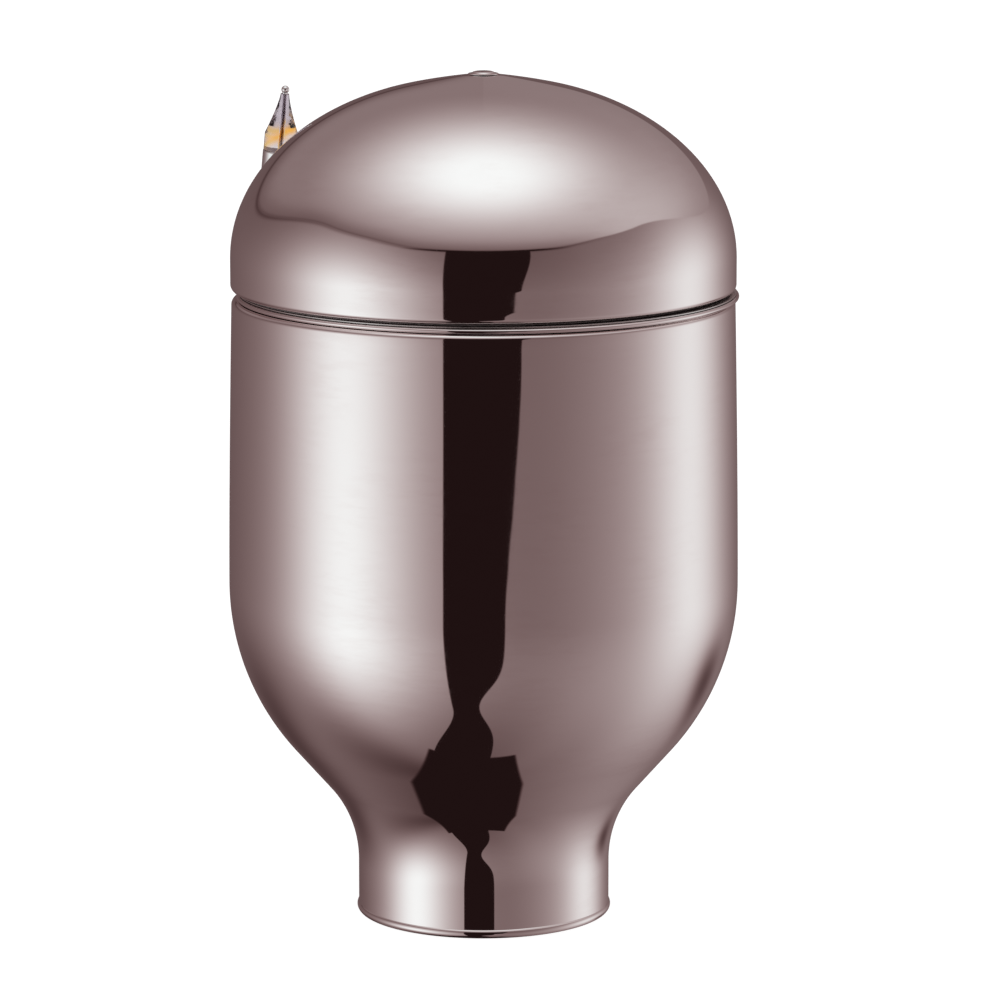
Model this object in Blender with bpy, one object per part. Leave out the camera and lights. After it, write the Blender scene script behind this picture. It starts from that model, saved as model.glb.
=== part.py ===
"""Footed soup urn: a heated, water-jacketed food pot under a domed lid that hinges at the rear.

Units are metres. +Z is up, the origin is the centre of the base pad's underside, and +Y points to
the rear, where the lid's hinge and the control panel are.
"""

import math

import bmesh
import bpy
from mathutils import Matrix, Vector

# ---- Driving sizes of the vessel -----------------------------------------------------------------
BODY_RADIUS = 0.1520  # widest point of the wall, just above the shoulder
RIM_HEIGHT = 0.3729  # top of the body's lip
BODY_LIP_ROUND = 0.0031  # the lip's outer edge
NECK_RADIUS = 0.0754  # the foot's straight neck
NECK_HEIGHT = 0.0310  # where the neck starts to flare
FLARE_RADIUS = 0.0730  # hollow curve from the neck to the cone
FLARE_ANGLE = math.radians(41.3)  # lean of the cone from vertical
SHOULDER_RADIUS = 0.1496  # round curve from the cone to the wall
BARREL_SWELL = 0.0026  # how much narrower the rim is than the widest point
BARREL_POWER = 1.4
DOME_HEIGHT = 0.1068
LID_OVERHANG = 0.0005
DOME_POWER_OUT = 2.06  # superellipse exponents of the dome
DOME_POWER_UP = 2.01
DOME_SKIRT = 0.0183  # straight part of the lid below the dome
CROWN_FLAT = 0.0095  # radius of the small flat under the button
CROWN_RISE = 0.0028  # soft point drawn up at the crown
CROWN_REACH = 0.0450  # how far out the point reaches

# ---- Sheets, gaps and segments -------------------------------------------------------------------
SHELL_WALL = 0.0010
LID_WALL = 0.0010
PAN_WALL = 0.0008
POT_WALL = 0.0008
GAP = 0.0003  # between pieces that touch
HOLE_GAP = 0.0004  # around a screw's shank
SEGMENTS = 32  # round the vessel
STEP_ANGLE = 2 * math.pi / SEGMENTS
DOME_STEPS = 10
SMALL_SEGMENTS = 16
HEX = 6
SCREW_SEGMENTS = 8

# ---- Base ----------------------------------------------------------------------------------------
BEAD_RADIUS = 0.0032  # section of the foot's rolled bead
BEAD_OVERHANG = 0.0010  # how far the bead stands out of the neck
PAD_THICKNESS = 0.0030
PAD_INSET = 0.0074  # pad's edge inside the neck
BASE_PLATE_THICKNESS = 0.0012
BASE_FLANGE_WIDTH = 0.0200  # inward flange of the body at the foot
BASE_SCREW_INSET = 0.0154  # base screws inside the neck
BASE_SCREWS = 4
SCREW_SHANK = 0.0018
SCREW_HEAD = 0.0036
SCREW_HEAD_HEIGHT = 0.0014
BASE_SCREW_LENGTH = 0.0075
PANEL_SCREW_LENGTH = 0.0060
PAD_EDGE = 0.0008

# ---- Inner vessels -------------------------------------------------------------------------------
PAN_SEAT_SHIFT = 0.0025  # the loose pan's play in the body, taken up to one side
PAN_SEAT_ANGLE = math.radians(-45)
PAN_BEAD_RADIUS = 0.00145
PAN_BEAD_INSET = 0.0004  # pan bead's outer edge inside the rim
PAN_NECK_INSET = 0.0075  # pan wall inside the body's rim
PAN_DROP = 0.0620  # pan floor below the top of the shoulder
PAN_CORNER = 0.0240
WATER_DEPTH = 0.0310  # water space under the pot
WATER_SIDE = 0.0040  # water space round the pot
POT_TAPER = 0.0060
POT_CORNER = 0.0250
POT_FLANGE_INSET = 0.0019  # pot flange's edge inside the rim

# ---- Lid -----------------------------------------------------------------------------------------
SEAL_HEIGHT = 0.0009
SEAL_WIDTH = 0.0060
SEAL_INSET = 0.0042  # seal's edge inside the rim
SEAL_ROUND = 0.0004
LID_LIP_WIDTH = 0.0110  # the lid's lower edge, turned inwards
LID_LIP_ROUND = 0.0032
DRIP_DEPTH = 0.0150  # drip skirt below the lid's lip
DRIP_SIDE = 0.0015  # least gap from the skirt to the pot's wall
DRIP_WALL = 0.0010
DRIP_FLANGE = 0.0045  # skirt's flange over the lid's lip
BUTTON_RADIUS = 0.0090
BUTTON_HEIGHT = 0.0018
STUD_RADIUS = 0.0020
WASHER_RADIUS = 0.0080
WASHER_THICKNESS = 0.0012
NUT_RADIUS = 0.0042
NUT_THICKNESS = 0.0030

# ---- Hinge and lever -----------------------------------------------------------------------------
HINGE_REACH = 0.0100  # hinge axis behind the widest point of the wall
HINGE_RISE = 0.0051  # hinge axis above the rim
PIN_RADIUS = 0.0025
PIN_HEAD_STEP = 0.0017  # pin head beyond the pin
BUSH_WALL = 0.0012
RUNNING_GAP = 0.0003
KNUCKLE_RADIUS = 0.0062
BARREL_HALF = 0.0080  # half length of the lid's knuckle
CHEEK_THICKNESS = 0.0035
CHEEK_GAP = 0.0005
LEAF_THICKNESS = 0.0020
LEAF_HEIGHT = 0.0200
LEAF_RISE = 0.0060  # leaf's lower edge above the lid's
BRACKET_HEIGHT = 0.0340
BRACKET_DROP = 0.0020  # bracket plate's top below the rim
HINGE_SCREW_X = 0.0170
BACKING_THICKNESS = 0.0020
BACKING_HALF = 0.0060  # half height of a backing plate
LEAF_BACKING_INSET = 0.0002  # lid's backing plate further in than the body's
LEVER_WIDTH = 0.0080
LEVER_THICKNESS = 0.0040
LEVER_FOOT = 0.0120  # straight part of the stem under the grip
PIN_END_ROUND = 0.0006
PIN_HEAD_THICKNESS = 0.0016
PIN_CAP_THICKNESS = 0.0022
LEVER_OUT = 0.0172  # grip's foot behind the hinge axis
GRIP_BASE_RISE = 0.0441  # grip's foot above the hinge axis
GRIP_LEAN = math.radians(7.5)
FERRULE_RADIUS = 0.0106
FERRULE_HEIGHT = 0.0240
FERRULE_RIM = 0.0012
FERRULE_TAPER = 0.0050  # height of the ferrule's drawn-in foot
GRIP_RADIUS = 0.0103
GRIP_HEIGHT = 0.0350
GRIP_TIP_RADIUS = 0.0026
GRIP_KINK = 0.29  # share of the horn's height that is straight
GRIP_DRAW = 1.3  # power of the draw from there to the tip
GRIP_STEPS = 7
TIE_ROD_RADIUS = 0.0008
TIE_ROD_LOW = 0.0008  # tie rod's end above the grip's foot
TIE_ROD_THREAD = 0.0010  # tie rod's reach into the ball
TIP_BALL_RADIUS = 0.0024
TIP_BALL_BORE = 0.0014

# ---- Rear panel and electrics --------------------------------------------------------------------
PANEL_HALF_WIDTH = 0.0350  # opening in the foot
PANEL_LOW = 0.0120
PANEL_HIGH = 0.0450
PANEL_RECESS = 0.0136  # back of the recess plate in front of the opening's edges
PANEL_WALL = 0.0012
PANEL_FLANGE_STEPS = 3
PANEL_FLANGE_RISE = 0.0040
PANEL_SCREW_SIDE = 0.0045  # panel screws beside the opening, round the neck
INLET_X = -0.0182
INLET_SIZE = (0.0300, 0.0240)
INLET_BODY = (0.0270, 0.0200)
INLET_CAVITY = (0.0240, 0.0164)
INLET_DEPTH = 0.0220
INLET_CAVITY_DEPTH = 0.0170
INLET_FLANGE = 0.0020
INLET_PIN = (0.0020, 0.0040)
INLET_PIN_PITCH = 0.0070
SWITCH_X = 0.0040
SWITCH_Z_BELOW = 0.0062  # switch centre below the panel's centre
SWITCH_SIZE = (0.0126, 0.0176)
SWITCH_WELL = (0.0098, 0.0148)
SWITCH_DEPTH = 0.0160
SWITCH_WELL_DEPTH = 0.0080
ROCKER_RADIUS = 0.0069
ROCKER_TILT = math.radians(10)
ROCKER_THICKNESS = 0.0040
LAMP_ABOVE = 0.0095
LAMP_RADIUS = 0.0030
LAMP_DEPTH = 0.0140
KNOB_X = 0.0224
KNOB_RADIUS = 0.0105
KNOB_HEIGHT = 0.0100
KNOB_CLEAR = 0.0008
KNOB_SKIRT_STEP = 0.0016  # knob's side inside its brim
KNOB_BRIM = 0.0012
KNOB_EDGE = 0.0008
KNOB_ROOF = 0.0020
KNOB_MARK = (0.0012, 0.0006)  # width and depth of the mark on its face
SHAFT_RADIUS = 0.0030
THERMOSTAT_SIZE = (0.0240, 0.0220, 0.0260)
THERMOSTAT_NECK = 0.0050
THERMOSTAT_NUT = (0.0074, 0.0024)
SPREADER_RADIUS = 0.0900
SPREADER_THICKNESS = 0.0030
ELEMENT_RING = 0.0720
ELEMENT_RADIUS = 0.0032
ELEMENT_GAP_ANGLE = math.radians(24)
ELEMENT_STEPS = 16
CLAMP_THICKNESS = 0.0015
CLAMP_BOLTS = 3
CLAMP_BOLT_CIRCLE = 0.0400
CLAMP_BOLT_RADIUS = 0.0025
CLAMP_BOLT_HEAD = 0.0045
CLAMP_INSET = 0.0100  # clamp's edge inside the spreader's
CUTOUT_RADIUS = 0.0080
CUTOUT_HEIGHT = 0.0060
TERMINAL_SIZE = (0.0360, 0.0140, 0.0160)
LEAD_RADIUS = 0.0012
LEAD_STEPS = 6
LEAD_ARCH = 0.0120  # how high the inlet's leads arch
LEAD_PITCH = 0.0110  # inlet leads at the terminal block
HEATER_LEAD_HALF = (0.0055, 0.0040)  # heater leads at the block and at the cut-out
EARTH_RISE = 0.0030  # earth blade above the other two
INLET_TAIL = 0.0040  # blades behind the inlet
INLET_BLADE_SINK = 0.0030  # blades' ends below the inlet's face

# ---- Pot bail ------------------------------------------------------------------------------------
BAIL_WIRE = 0.0022
BAIL_CLEAR = 0.0030  # ears below the drip skirt
BAIL_SIDE = 0.0180  # bail wire inside the pot's wall
BAIL_STEPS = 14
BAIL_OFFSET = 0.0040  # bail's bend beyond its axis
BAIL_CRANK = 0.0005  # width of the step from the axis to the bend
EAR_STANDOFF = 0.0024  # ear off the pot's wall
EAR_RADIUS = 0.0070
EAR_THICKNESS = 0.0020

# ---- Sizes that follow from the ones above -------------------------------------------------------
RIM_RADIUS = BODY_RADIUS - BARREL_SWELL
FLARE_OUT = FLARE_RADIUS * (1 - math.cos(FLARE_ANGLE))
SHOULDER_IN = SHOULDER_RADIUS * (1 - math.cos(FLARE_ANGLE))
CONE_HEIGHT = (BODY_RADIUS - SHOULDER_IN - NECK_RADIUS - FLARE_OUT) / math.tan(FLARE_ANGLE)
SHOULDER_TOP = NECK_HEIGHT + (FLARE_RADIUS + SHOULDER_RADIUS) * math.sin(FLARE_ANGLE) + CONE_HEIGHT
PAN_SEAT = Vector((math.cos(PAN_SEAT_ANGLE), math.sin(PAN_SEAT_ANGLE), 0)) * PAN_SEAT_SHIFT
BEAD_CENTRE_Z = GAP + BEAD_RADIUS
PLATE_LOW = PAD_THICKNESS + GAP
FLANGE_LOW = PLATE_LOW + BASE_PLATE_THICKNESS + GAP
PAN_BEAD_Z = RIM_HEIGHT + GAP + PAN_BEAD_RADIUS
PAN_RADIUS = RIM_RADIUS - PAN_NECK_INSET
PAN_FLOOR = SHOULDER_TOP - PAN_DROP
POT_FLANGE_LOW = PAN_BEAD_Z + PAN_BEAD_RADIUS + GAP
POT_RADIUS = PAN_RADIUS - PAN_WALL - WATER_SIDE
POT_FLOOR = PAN_FLOOR + PAN_WALL + WATER_DEPTH
POT_FLANGE_RADIUS = RIM_RADIUS - POT_FLANGE_INSET
SEAL_LOW = POT_FLANGE_LOW + POT_WALL + GAP
LID_LOW = SEAL_LOW + SEAL_HEIGHT + GAP
LID_RADIUS = RIM_RADIUS + LID_OVERHANG
DOME_LOW = LID_LOW + DOME_SKIRT
DRIP_RADIUS = POT_RADIUS - POT_WALL - PAN_SEAT_SHIFT - DRIP_SIDE
HINGE = Vector((0, BODY_RADIUS + HINGE_REACH, RIM_HEIGHT + HINGE_RISE))
PIN_HEAD = PIN_RADIUS + PIN_HEAD_STEP
BUSH_RADIUS = PIN_RADIUS + RUNNING_GAP + BUSH_WALL
CHEEK_INNER = BARREL_HALF + CHEEK_GAP
CHEEK_OUTER = CHEEK_INNER + CHEEK_THICKNESS
NECK_INNER = NECK_RADIUS - SHELL_WALL
PANEL_DEPTH_Y = math.sqrt(NECK_INNER**2 - PANEL_HALF_WIDTH**2) - PANEL_RECESS
PANEL_SCREW_ANGLE = math.asin(PANEL_HALF_WIDTH / NECK_RADIUS) + PANEL_SCREW_SIDE / NECK_RADIUS
PANEL_FRONT = PANEL_DEPTH_Y + PANEL_WALL
PANEL_MIDDLE = (PANEL_LOW + PANEL_HIGH) / 2
FITTING_FRONT = PANEL_FRONT + GAP
KNOB_Z = PANEL_MIDDLE
SPREADER_HIGH = PAN_FLOOR - GAP
ELEMENT_Z = SPREADER_HIGH - SPREADER_THICKNESS - GAP - ELEMENT_RADIUS
CLAMP_HIGH = ELEMENT_Z - ELEMENT_RADIUS - GAP
CLAMP_LOW = CLAMP_HIGH - CLAMP_THICKNESS
BAIL_Z = LID_LOW - DRIP_DEPTH - BAIL_CLEAR - EAR_RADIUS
BAIL_RADIUS = POT_RADIUS - POT_WALL - BAIL_SIDE
GRIP_BASE = HINGE + Vector((0, LEVER_OUT, GRIP_BASE_RISE))
GRIP_TURN = Matrix.Rotation(GRIP_LEAN, 4, "X")


# ---- Making and dressing -------------------------------------------------------------------------
def finish(name, colour, roughness, metallic, alpha=1.0):
    """A Principled material with one colour."""
    made = bpy.data.materials.new(name)
    made.use_nodes = True
    shader = made.node_tree.nodes["Principled BSDF"]
    shader.inputs["Base Color"].default_value = (*colour, 1.0)
    shader.inputs["Roughness"].default_value = roughness
    shader.inputs["Metallic"].default_value = metallic
    shader.inputs["Alpha"].default_value = alpha
    return made


def clear_scene():
    for old in list(bpy.data.objects):
        bpy.data.objects.remove(old, do_unlink=True)


def pivot(name, place):
    """An empty on a joint's axis, for the moving pieces to hang from."""
    empty = bpy.data.objects.new(name, None)
    empty.location = place
    empty.empty_display_size = 0.02
    bpy.context.collection.objects.link(empty)
    return empty


def add_piece(name, shape, dress, parent=None, place=(0, 0, 0), turn=None):
    """Turns a bmesh into a named object, placed in the world and then hung from its parent."""
    bmesh.ops.recalc_face_normals(shape, faces=shape.faces)
    if shape.calc_volume(signed=True) < 0:
        bmesh.ops.reverse_faces(shape, faces=shape.faces)
    mesh = bpy.data.meshes.new(name)
    shape.to_mesh(mesh)
    shape.free()
    mesh.shade_smooth()
    mesh.set_sharp_from_angle(angle=math.radians(32))
    piece = bpy.data.objects.new(name, mesh)
    piece.matrix_world = Matrix.Translation(place) @ (turn or Matrix.Identity(4))
    if dress:
        mesh.materials.append(dress)
    if parent:
        piece.parent = parent
        piece.matrix_parent_inverse = Matrix.Translation(parent.location).inverted()
    bpy.context.collection.objects.link(piece)
    return piece


def add_cutter(name, shape, place=(0, 0, 0), turn=None):
    cutter = add_piece(name, shape, None, place=place, turn=turn)
    cutter.hide_render = True
    cutter.display_type = "WIRE"
    return cutter


def combine(piece, other, operation):
    change = piece.modifiers.new(f"{operation.lower()} {other.name}", "BOOLEAN")
    change.object = other
    change.operation = operation
    change.solver = "EXACT"


def spun(outline, segments=SEGMENTS, start=0.0, angle=2 * math.pi):
    """A (radius, height) outline turned about Z: a full turn, or a sector capped at both ends.

    An outline that starts and ends on the axis is left open there, because the turn closes it.
    """
    shape = bmesh.new()
    corners = [shape.verts.new((r * math.cos(start), r * math.sin(start), z)) for r, z in outline]
    closed = max(outline[0][0], outline[-1][0]) > 1e-9
    whole = abs(angle - 2 * math.pi) < 1e-9
    pairs = list(zip(corners, corners[1:] + corners[:1] if closed else corners[1:]))
    edges = [shape.edges.new(pair) for pair in pairs]
    geometry = corners + edges
    if not whole:
        geometry.append(shape.faces.new(corners))
    bmesh.ops.spin(shape, geom=geometry, axis=(0, 0, 1), cent=(0, 0, 0), angle=angle, steps=segments)
    bmesh.ops.remove_doubles(shape, verts=shape.verts, dist=1e-6)
    return shape


def block(low, high):
    """A box between two corners."""
    shape = bmesh.new()
    size = Vector(high) - Vector(low)
    middle = (Vector(high) + Vector(low)) / 2
    bmesh.ops.create_cube(shape, size=1, matrix=Matrix.Translation(middle) @ Matrix.Diagonal((*size, 1)))
    return shape


def prism(outline, low, high):
    """A (y, z) outline extruded along X."""
    shape = bmesh.new()
    face = shape.faces.new([shape.verts.new((low, y, z)) for y, z in outline])
    pushed = bmesh.ops.extrude_face_region(shape, geom=[face])
    moved = [item for item in pushed["geom"] if isinstance(item, bmesh.types.BMVert)]
    bmesh.ops.translate(shape, verts=moved, vec=(high - low, 0, 0))
    return shape


def rod(radius, low, high, segments=SCREW_SEGMENTS):
    """A plain cylinder on Z."""
    return spun([(0, high), (radius, high), (radius, low), (0, low)], segments)


def drill_shape(places, radius, low, high, turn, segments):
    """One shape of several straight cutters, each along Z before the turn."""
    shape = bmesh.new()
    for place in places:
        matrix = Matrix.Translation(place) @ (turn or Matrix.Identity(4))
        matrix = matrix @ Matrix.Translation((0, 0, (low + high) / 2))
        bmesh.ops.create_cone(
            shape, cap_ends=True, segments=segments, radius1=radius, radius2=radius,
            depth=high - low, matrix=matrix,
        )
    return shape


def drill(piece, places, radius, low, high, turn=None, segments=SCREW_SEGMENTS):
    """Bores straight holes through a piece."""
    shape = drill_shape(places, radius, low, high, turn, segments)
    combine(piece, add_cutter(f"{piece.name}_holes", shape), "DIFFERENCE")


def arc(centre, radius, start, end, steps):
    """(radius, height) points on an arc from one angle to another, both ends included."""
    turns = [start + (end - start) * i / steps for i in range(steps + 1)]
    return [(centre[0] + radius * math.cos(a), centre[1] + radius * math.sin(a)) for a in turns]


def offset(outline, distance):
    """An open outline moved to its right-hand side by a distance, mitred at its corners."""
    points = [Vector(point) for point in outline]
    moved = []
    for i, point in enumerate(points):
        before = (point - points[i - 1]).normalized() if i else None
        after = (points[i + 1] - point).normalized() if i + 1 < len(points) else None
        along = before or after
        both = (along + (after or along)).normalized()
        side = Vector((both.y, -both.x))
        moved.append(tuple(point + side * distance / max(both.dot(along), 0.5)))
    return moved


def around(count, radius, height, first=0.0):
    """Places evenly round the Z axis."""
    angles = [first + 2 * math.pi * i / count for i in range(count)]
    return [Vector((radius * math.cos(a), radius * math.sin(a), height)) for a in angles]


def screw_shape(shank, head, head_height, length, segments=SCREW_SEGMENTS):
    """A pan-head screw on Z: its head's underside at zero and its shank below."""
    edge = 0.35 * head_height
    outline = [(0, head_height), (head - edge, head_height), (head, head_height - edge), (head, 0)]
    outline += [(shank, 0), (shank, shank - length), (0.4 * shank, -length), (0, -length)]
    return spun(outline, segments)


BACKWARD = Matrix.Rotation(-math.pi / 2, 4, "X")  # turns +Z to +Y
SIDEWAYS = Matrix.Rotation(math.pi / 2, 4, "Y")  # turns +Z to +X
DOWNWARD = Matrix.Rotation(math.pi, 4, "X")


# ---- Body and base -------------------------------------------------------------------------------
def wall_radius(height):
    """Outer radius of the barrel-shaped wall at a height above the shoulder."""
    share = (height - SHOULDER_TOP) / (RIM_HEIGHT - SHOULDER_TOP)
    return BODY_RADIUS - BARREL_SWELL * max(share, 0) ** BARREL_POWER


def body_outline():
    """The body's outer outline from the bead's top up to the lip."""
    flare = arc((NECK_RADIUS + FLARE_RADIUS, NECK_HEIGHT), FLARE_RADIUS, math.pi, math.pi - FLARE_ANGLE, 3)
    shoulder = arc((BODY_RADIUS - SHOULDER_RADIUS, SHOULDER_TOP), SHOULDER_RADIUS, -FLARE_ANGLE, 0, 4)
    heights = [SHOULDER_TOP + (RIM_HEIGHT - SHOULDER_TOP) * share for share in (0.33, 0.66)]
    wall = [(wall_radius(z), z) for z in heights]
    return [(NECK_RADIUS, 2 * BEAD_RADIUS + GAP)] + flare + shoulder + wall


def make_body_shell(dress):
    """One spun sheet: rolled bead, neck, flare, shoulder, wall and turned-in lip."""
    lip = BODY_LIP_ROUND
    sides = body_outline()
    edge = arc((RIM_RADIUS - lip, RIM_HEIGHT - lip), lip, 0, math.pi / 2, 3)
    outer = sides + edge
    inner = offset(sides + edge[:1], -SHELL_WALL)[::-1]
    inner = [point for point in inner if point[1] > FLANGE_LOW + 2 * SHELL_WALL]
    flange_radius = NECK_RADIUS - BASE_FLANGE_WIDTH
    lip_radius = PAN_RADIUS + PAN_SEAT_SHIFT + 2 * GAP
    bead_x = NECK_RADIUS + BEAD_OVERHANG - BEAD_RADIUS
    bead = arc((bead_x, BEAD_CENTRE_Z), BEAD_RADIUS, -math.pi * 0.72, math.pi * 0.42, 5)
    top = [(lip_radius, RIM_HEIGHT), (lip_radius, RIM_HEIGHT - SHELL_WALL)]
    top += [(RIM_RADIUS - lip, RIM_HEIGHT - SHELL_WALL)]
    bottom = [(NECK_INNER, FLANGE_LOW + SHELL_WALL), (flange_radius, FLANGE_LOW + SHELL_WALL)]
    bottom += [(flange_radius, FLANGE_LOW)]
    bottom += [(bead_x - 1.5 * BEAD_RADIUS, FLANGE_LOW)]
    body = add_piece("body_shell", spun((bottom + bead + outer + top + inner)[::-1]), dress)
    low = (-PANEL_HALF_WIDTH, PANEL_DEPTH_Y, PANEL_LOW)
    high = (PANEL_HALF_WIDTH, BODY_RADIUS, PANEL_HIGH)
    combine(body, add_cutter("panel_opening", block(low, high)), "DIFFERENCE")
    drill(body, base_screw_places(), SCREW_SHANK + HOLE_GAP, -0.01, 0.02)
    drill(body, hinge_screw_places(bracket_screw_height()), SCREW_SHANK + HOLE_GAP, -0.02, 0.02, BACKWARD)
    for number, (place, turn) in enumerate(panel_screw_frames(), 1):
        hole = rod(SCREW_SHANK + HOLE_GAP, -0.01, 0.01)
        hole = add_cutter(f"panel_screw_hole_{number}", hole, place, turn)
        combine(body, hole, "DIFFERENCE")


def base_screw_places():
    return around(BASE_SCREWS, NECK_RADIUS - BASE_SCREW_INSET, 0, math.pi / BASE_SCREWS)


def make_base(steel, rubber, screw_steel):
    """The plate that closes the foot, its rubber pad and the screws through both."""
    plate_radius = NECK_RADIUS + BEAD_OVERHANG - 2.5 * BEAD_RADIUS - GAP
    plate_high = PLATE_LOW + BASE_PLATE_THICKNESS
    plate = add_piece("base_plate", rod(plate_radius, PLATE_LOW, plate_high, SEGMENTS), steel)
    drill(plate, base_screw_places(), SCREW_SHANK + HOLE_GAP, -0.01, 0.02)
    edge = PAD_EDGE
    pad_radius = NECK_RADIUS - PAD_INSET
    outline = [(0, PAD_THICKNESS), (pad_radius, PAD_THICKNESS)]
    outline += [(pad_radius, edge), (pad_radius - edge, 0), (0, 0)]
    pad = add_piece("base_pad", spun(outline), rubber)
    drill(pad, base_screw_places(), SCREW_HEAD + 2 * HOLE_GAP, -0.01, 0.02)
    for number, place in enumerate(base_screw_places(), 1):
        place.z = PLATE_LOW - GAP
        shape = screw_shape(SCREW_SHANK, SCREW_HEAD, SCREW_HEAD_HEIGHT, BASE_SCREW_LENGTH)
        add_piece(f"base_screw_{number}", shape, screw_steel, place=place, turn=DOWNWARD)


# ---- Inner vessels -------------------------------------------------------------------------------
def cup_outline(radius, high, floor, floor_radius, corner, wall):
    """Outer side of a cup down to its axis, then its inner side back up, a wall apart."""
    down = [(radius, high)]
    down += arc((floor_radius - corner, floor + corner), corner, 0, -math.pi / 2, 3)
    inner = offset(down + [(0, floor)], wall)[::-1]
    inner[0] = (0, floor + wall)
    return down + [(0, floor)], inner


def make_water_pan(seat, dress):
    """The water bath: a deep pan whose rolled rim rests on the body's lip."""
    wall_high = PAN_BEAD_Z - 0.6 * PAN_BEAD_RADIUS
    down, up = cup_outline(PAN_RADIUS, wall_high, PAN_FLOOR, PAN_RADIUS, PAN_CORNER, PAN_WALL)
    bead_x = RIM_RADIUS - PAN_BEAD_INSET - PAN_BEAD_RADIUS
    bead = arc((bead_x, PAN_BEAD_Z), PAN_BEAD_RADIUS, math.pi * 0.86, -math.pi * 0.83, 6)
    up[-1] = (PAN_RADIUS - PAN_WALL, PAN_BEAD_Z + 0.5 * PAN_BEAD_RADIUS)
    add_piece("water_pan", spun(down + up + bead), dress, seat, PAN_SEAT)


def make_food_pot(seat, dress):
    """The lift-out pot: a flange on the pan's bead, a tapered wall and a flat floor."""
    floor_radius = POT_RADIUS - POT_TAPER
    down, up = cup_outline(POT_RADIUS, POT_FLANGE_LOW, POT_FLOOR, floor_radius, POT_CORNER, POT_WALL)
    high = POT_FLANGE_LOW + POT_WALL
    up[-1] = (POT_RADIUS - POT_WALL, high)
    outline = [(POT_FLANGE_RADIUS, high), (POT_FLANGE_RADIUS, POT_FLANGE_LOW)] + down + up
    add_piece("food_pot", spun(outline), dress, seat, PAN_SEAT)


def make_bail(seat, axis, steel):
    """A wire bail that lies flat inside the pot, and the two ears it turns in."""
    ear_x = POT_RADIUS - POT_WALL - EAR_STANDOFF - EAR_THICKNESS
    for name, side in (("bail_ear_left", -1), ("bail_ear_right", 1)):
        shape = rod(EAR_RADIUS, 0, EAR_THICKNESS, SMALL_SEGMENTS)
        place = axis.location + Vector((side * ear_x, 0, 0))
        turn = SIDEWAYS if side > 0 else SIDEWAYS @ Matrix.Rotation(math.pi, 4, "X")
        ear = add_piece(name, shape, steel, seat, place, turn)
        start = place - Vector((side * EAR_RADIUS, 0, 0))
        drill(ear, [start], BAIL_WIRE + 2 * HOLE_GAP, 0, 2 * side * EAR_RADIUS, SIDEWAYS)
    reach = ear_x + EAR_THICKNESS - GAP
    bend = BAIL_RADIUS
    turns = [math.pi * i / BAIL_STEPS for i in range(BAIL_STEPS + 1)]
    arch = [(bend * math.cos(a), bend * math.sin(a) + BAIL_OFFSET) for a in turns]
    points = [(reach, 0), (bend + BAIL_CRANK, 0)] + arch + [(-bend - BAIL_CRANK, 0), (-reach, 0)]
    wire("pot_bail", [Vector((x, y, 0)) for x, y in points], BAIL_WIRE, steel, axis, axis.location)


def wire(name, points, radius, dress, parent=None, place=(0, 0, 0)):
    """A round wire through the points, as a curve with filled ends."""
    curve = bpy.data.curves.new(name, "CURVE")
    curve.dimensions = "3D"
    spline = curve.splines.new("POLY")
    spline.points.add(len(points) - 1)
    for slot, point in zip(spline.points, points):
        slot.co = (*point, 1)
    curve.bevel_depth = radius
    curve.bevel_resolution = 2
    curve.use_fill_caps = True
    curve.materials.append(dress)
    piece = bpy.data.objects.new(name, curve)
    piece.location = place
    if parent:
        piece.parent = parent
        piece.matrix_parent_inverse = Matrix.Translation(parent.location).inverted()
    bpy.context.collection.objects.link(piece)
    return piece


# ---- Heating -------------------------------------------------------------------------------------
def make_heater(seat, aluminium, steel, element_metal, plastic, screw_steel):
    """Under the pan: heat spreader, sheathed element, clamp plate, its bolts and the thermal cut-out."""
    bolts = [place + PAN_SEAT for place in around(CLAMP_BOLTS, CLAMP_BOLT_CIRCLE, 0, math.pi / 2)]
    low = SPREADER_HIGH - SPREADER_THICKNESS
    spreader = add_piece(
        "heat_spreader", rod(SPREADER_RADIUS, low, SPREADER_HIGH, SEGMENTS), aluminium, seat, PAN_SEAT
    )
    drill(spreader, bolts, CLAMP_BOLT_RADIUS + HOLE_GAP, low - 0.01, PAN_FLOOR + 0.01)
    first = (math.pi + ELEMENT_GAP_ANGLE) / 2
    step = (2 * math.pi - ELEMENT_GAP_ANGLE) / ELEMENT_STEPS
    turns = [first + step * i for i in range(ELEMENT_STEPS + 1)]
    ring = [Vector((ELEMENT_RING * math.cos(a), ELEMENT_RING * math.sin(a), ELEMENT_Z)) for a in turns]
    wire("heating_element", ring, ELEMENT_RADIUS, element_metal, seat, PAN_SEAT)
    disc = rod(SPREADER_RADIUS - CLAMP_INSET, CLAMP_LOW, CLAMP_HIGH, SEGMENTS)
    clamp = add_piece("element_clamp", disc, steel, seat, PAN_SEAT)
    drill(clamp, bolts, CLAMP_BOLT_RADIUS + HOLE_GAP, CLAMP_LOW - 0.01, CLAMP_HIGH + 0.01)
    length = SPREADER_HIGH - CLAMP_LOW
    for number, place in enumerate(bolts, 1):
        shape = screw_shape(CLAMP_BOLT_RADIUS, CLAMP_BOLT_HEAD, CLAMP_BOLT_RADIUS, length)
        place.z = CLAMP_LOW - GAP
        add_piece(f"clamp_bolt_{number}", shape, screw_steel, seat, place, DOWNWARD)
    high = CLAMP_LOW - GAP
    outline = [(0, high), (CUTOUT_RADIUS, high), (CUTOUT_RADIUS, high - CUTOUT_HEIGHT)]
    outline += [(0, high - CUTOUT_HEIGHT)]
    add_piece("thermal_cutout", spun(outline, SMALL_SEGMENTS), plastic, seat, PAN_SEAT)


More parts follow.
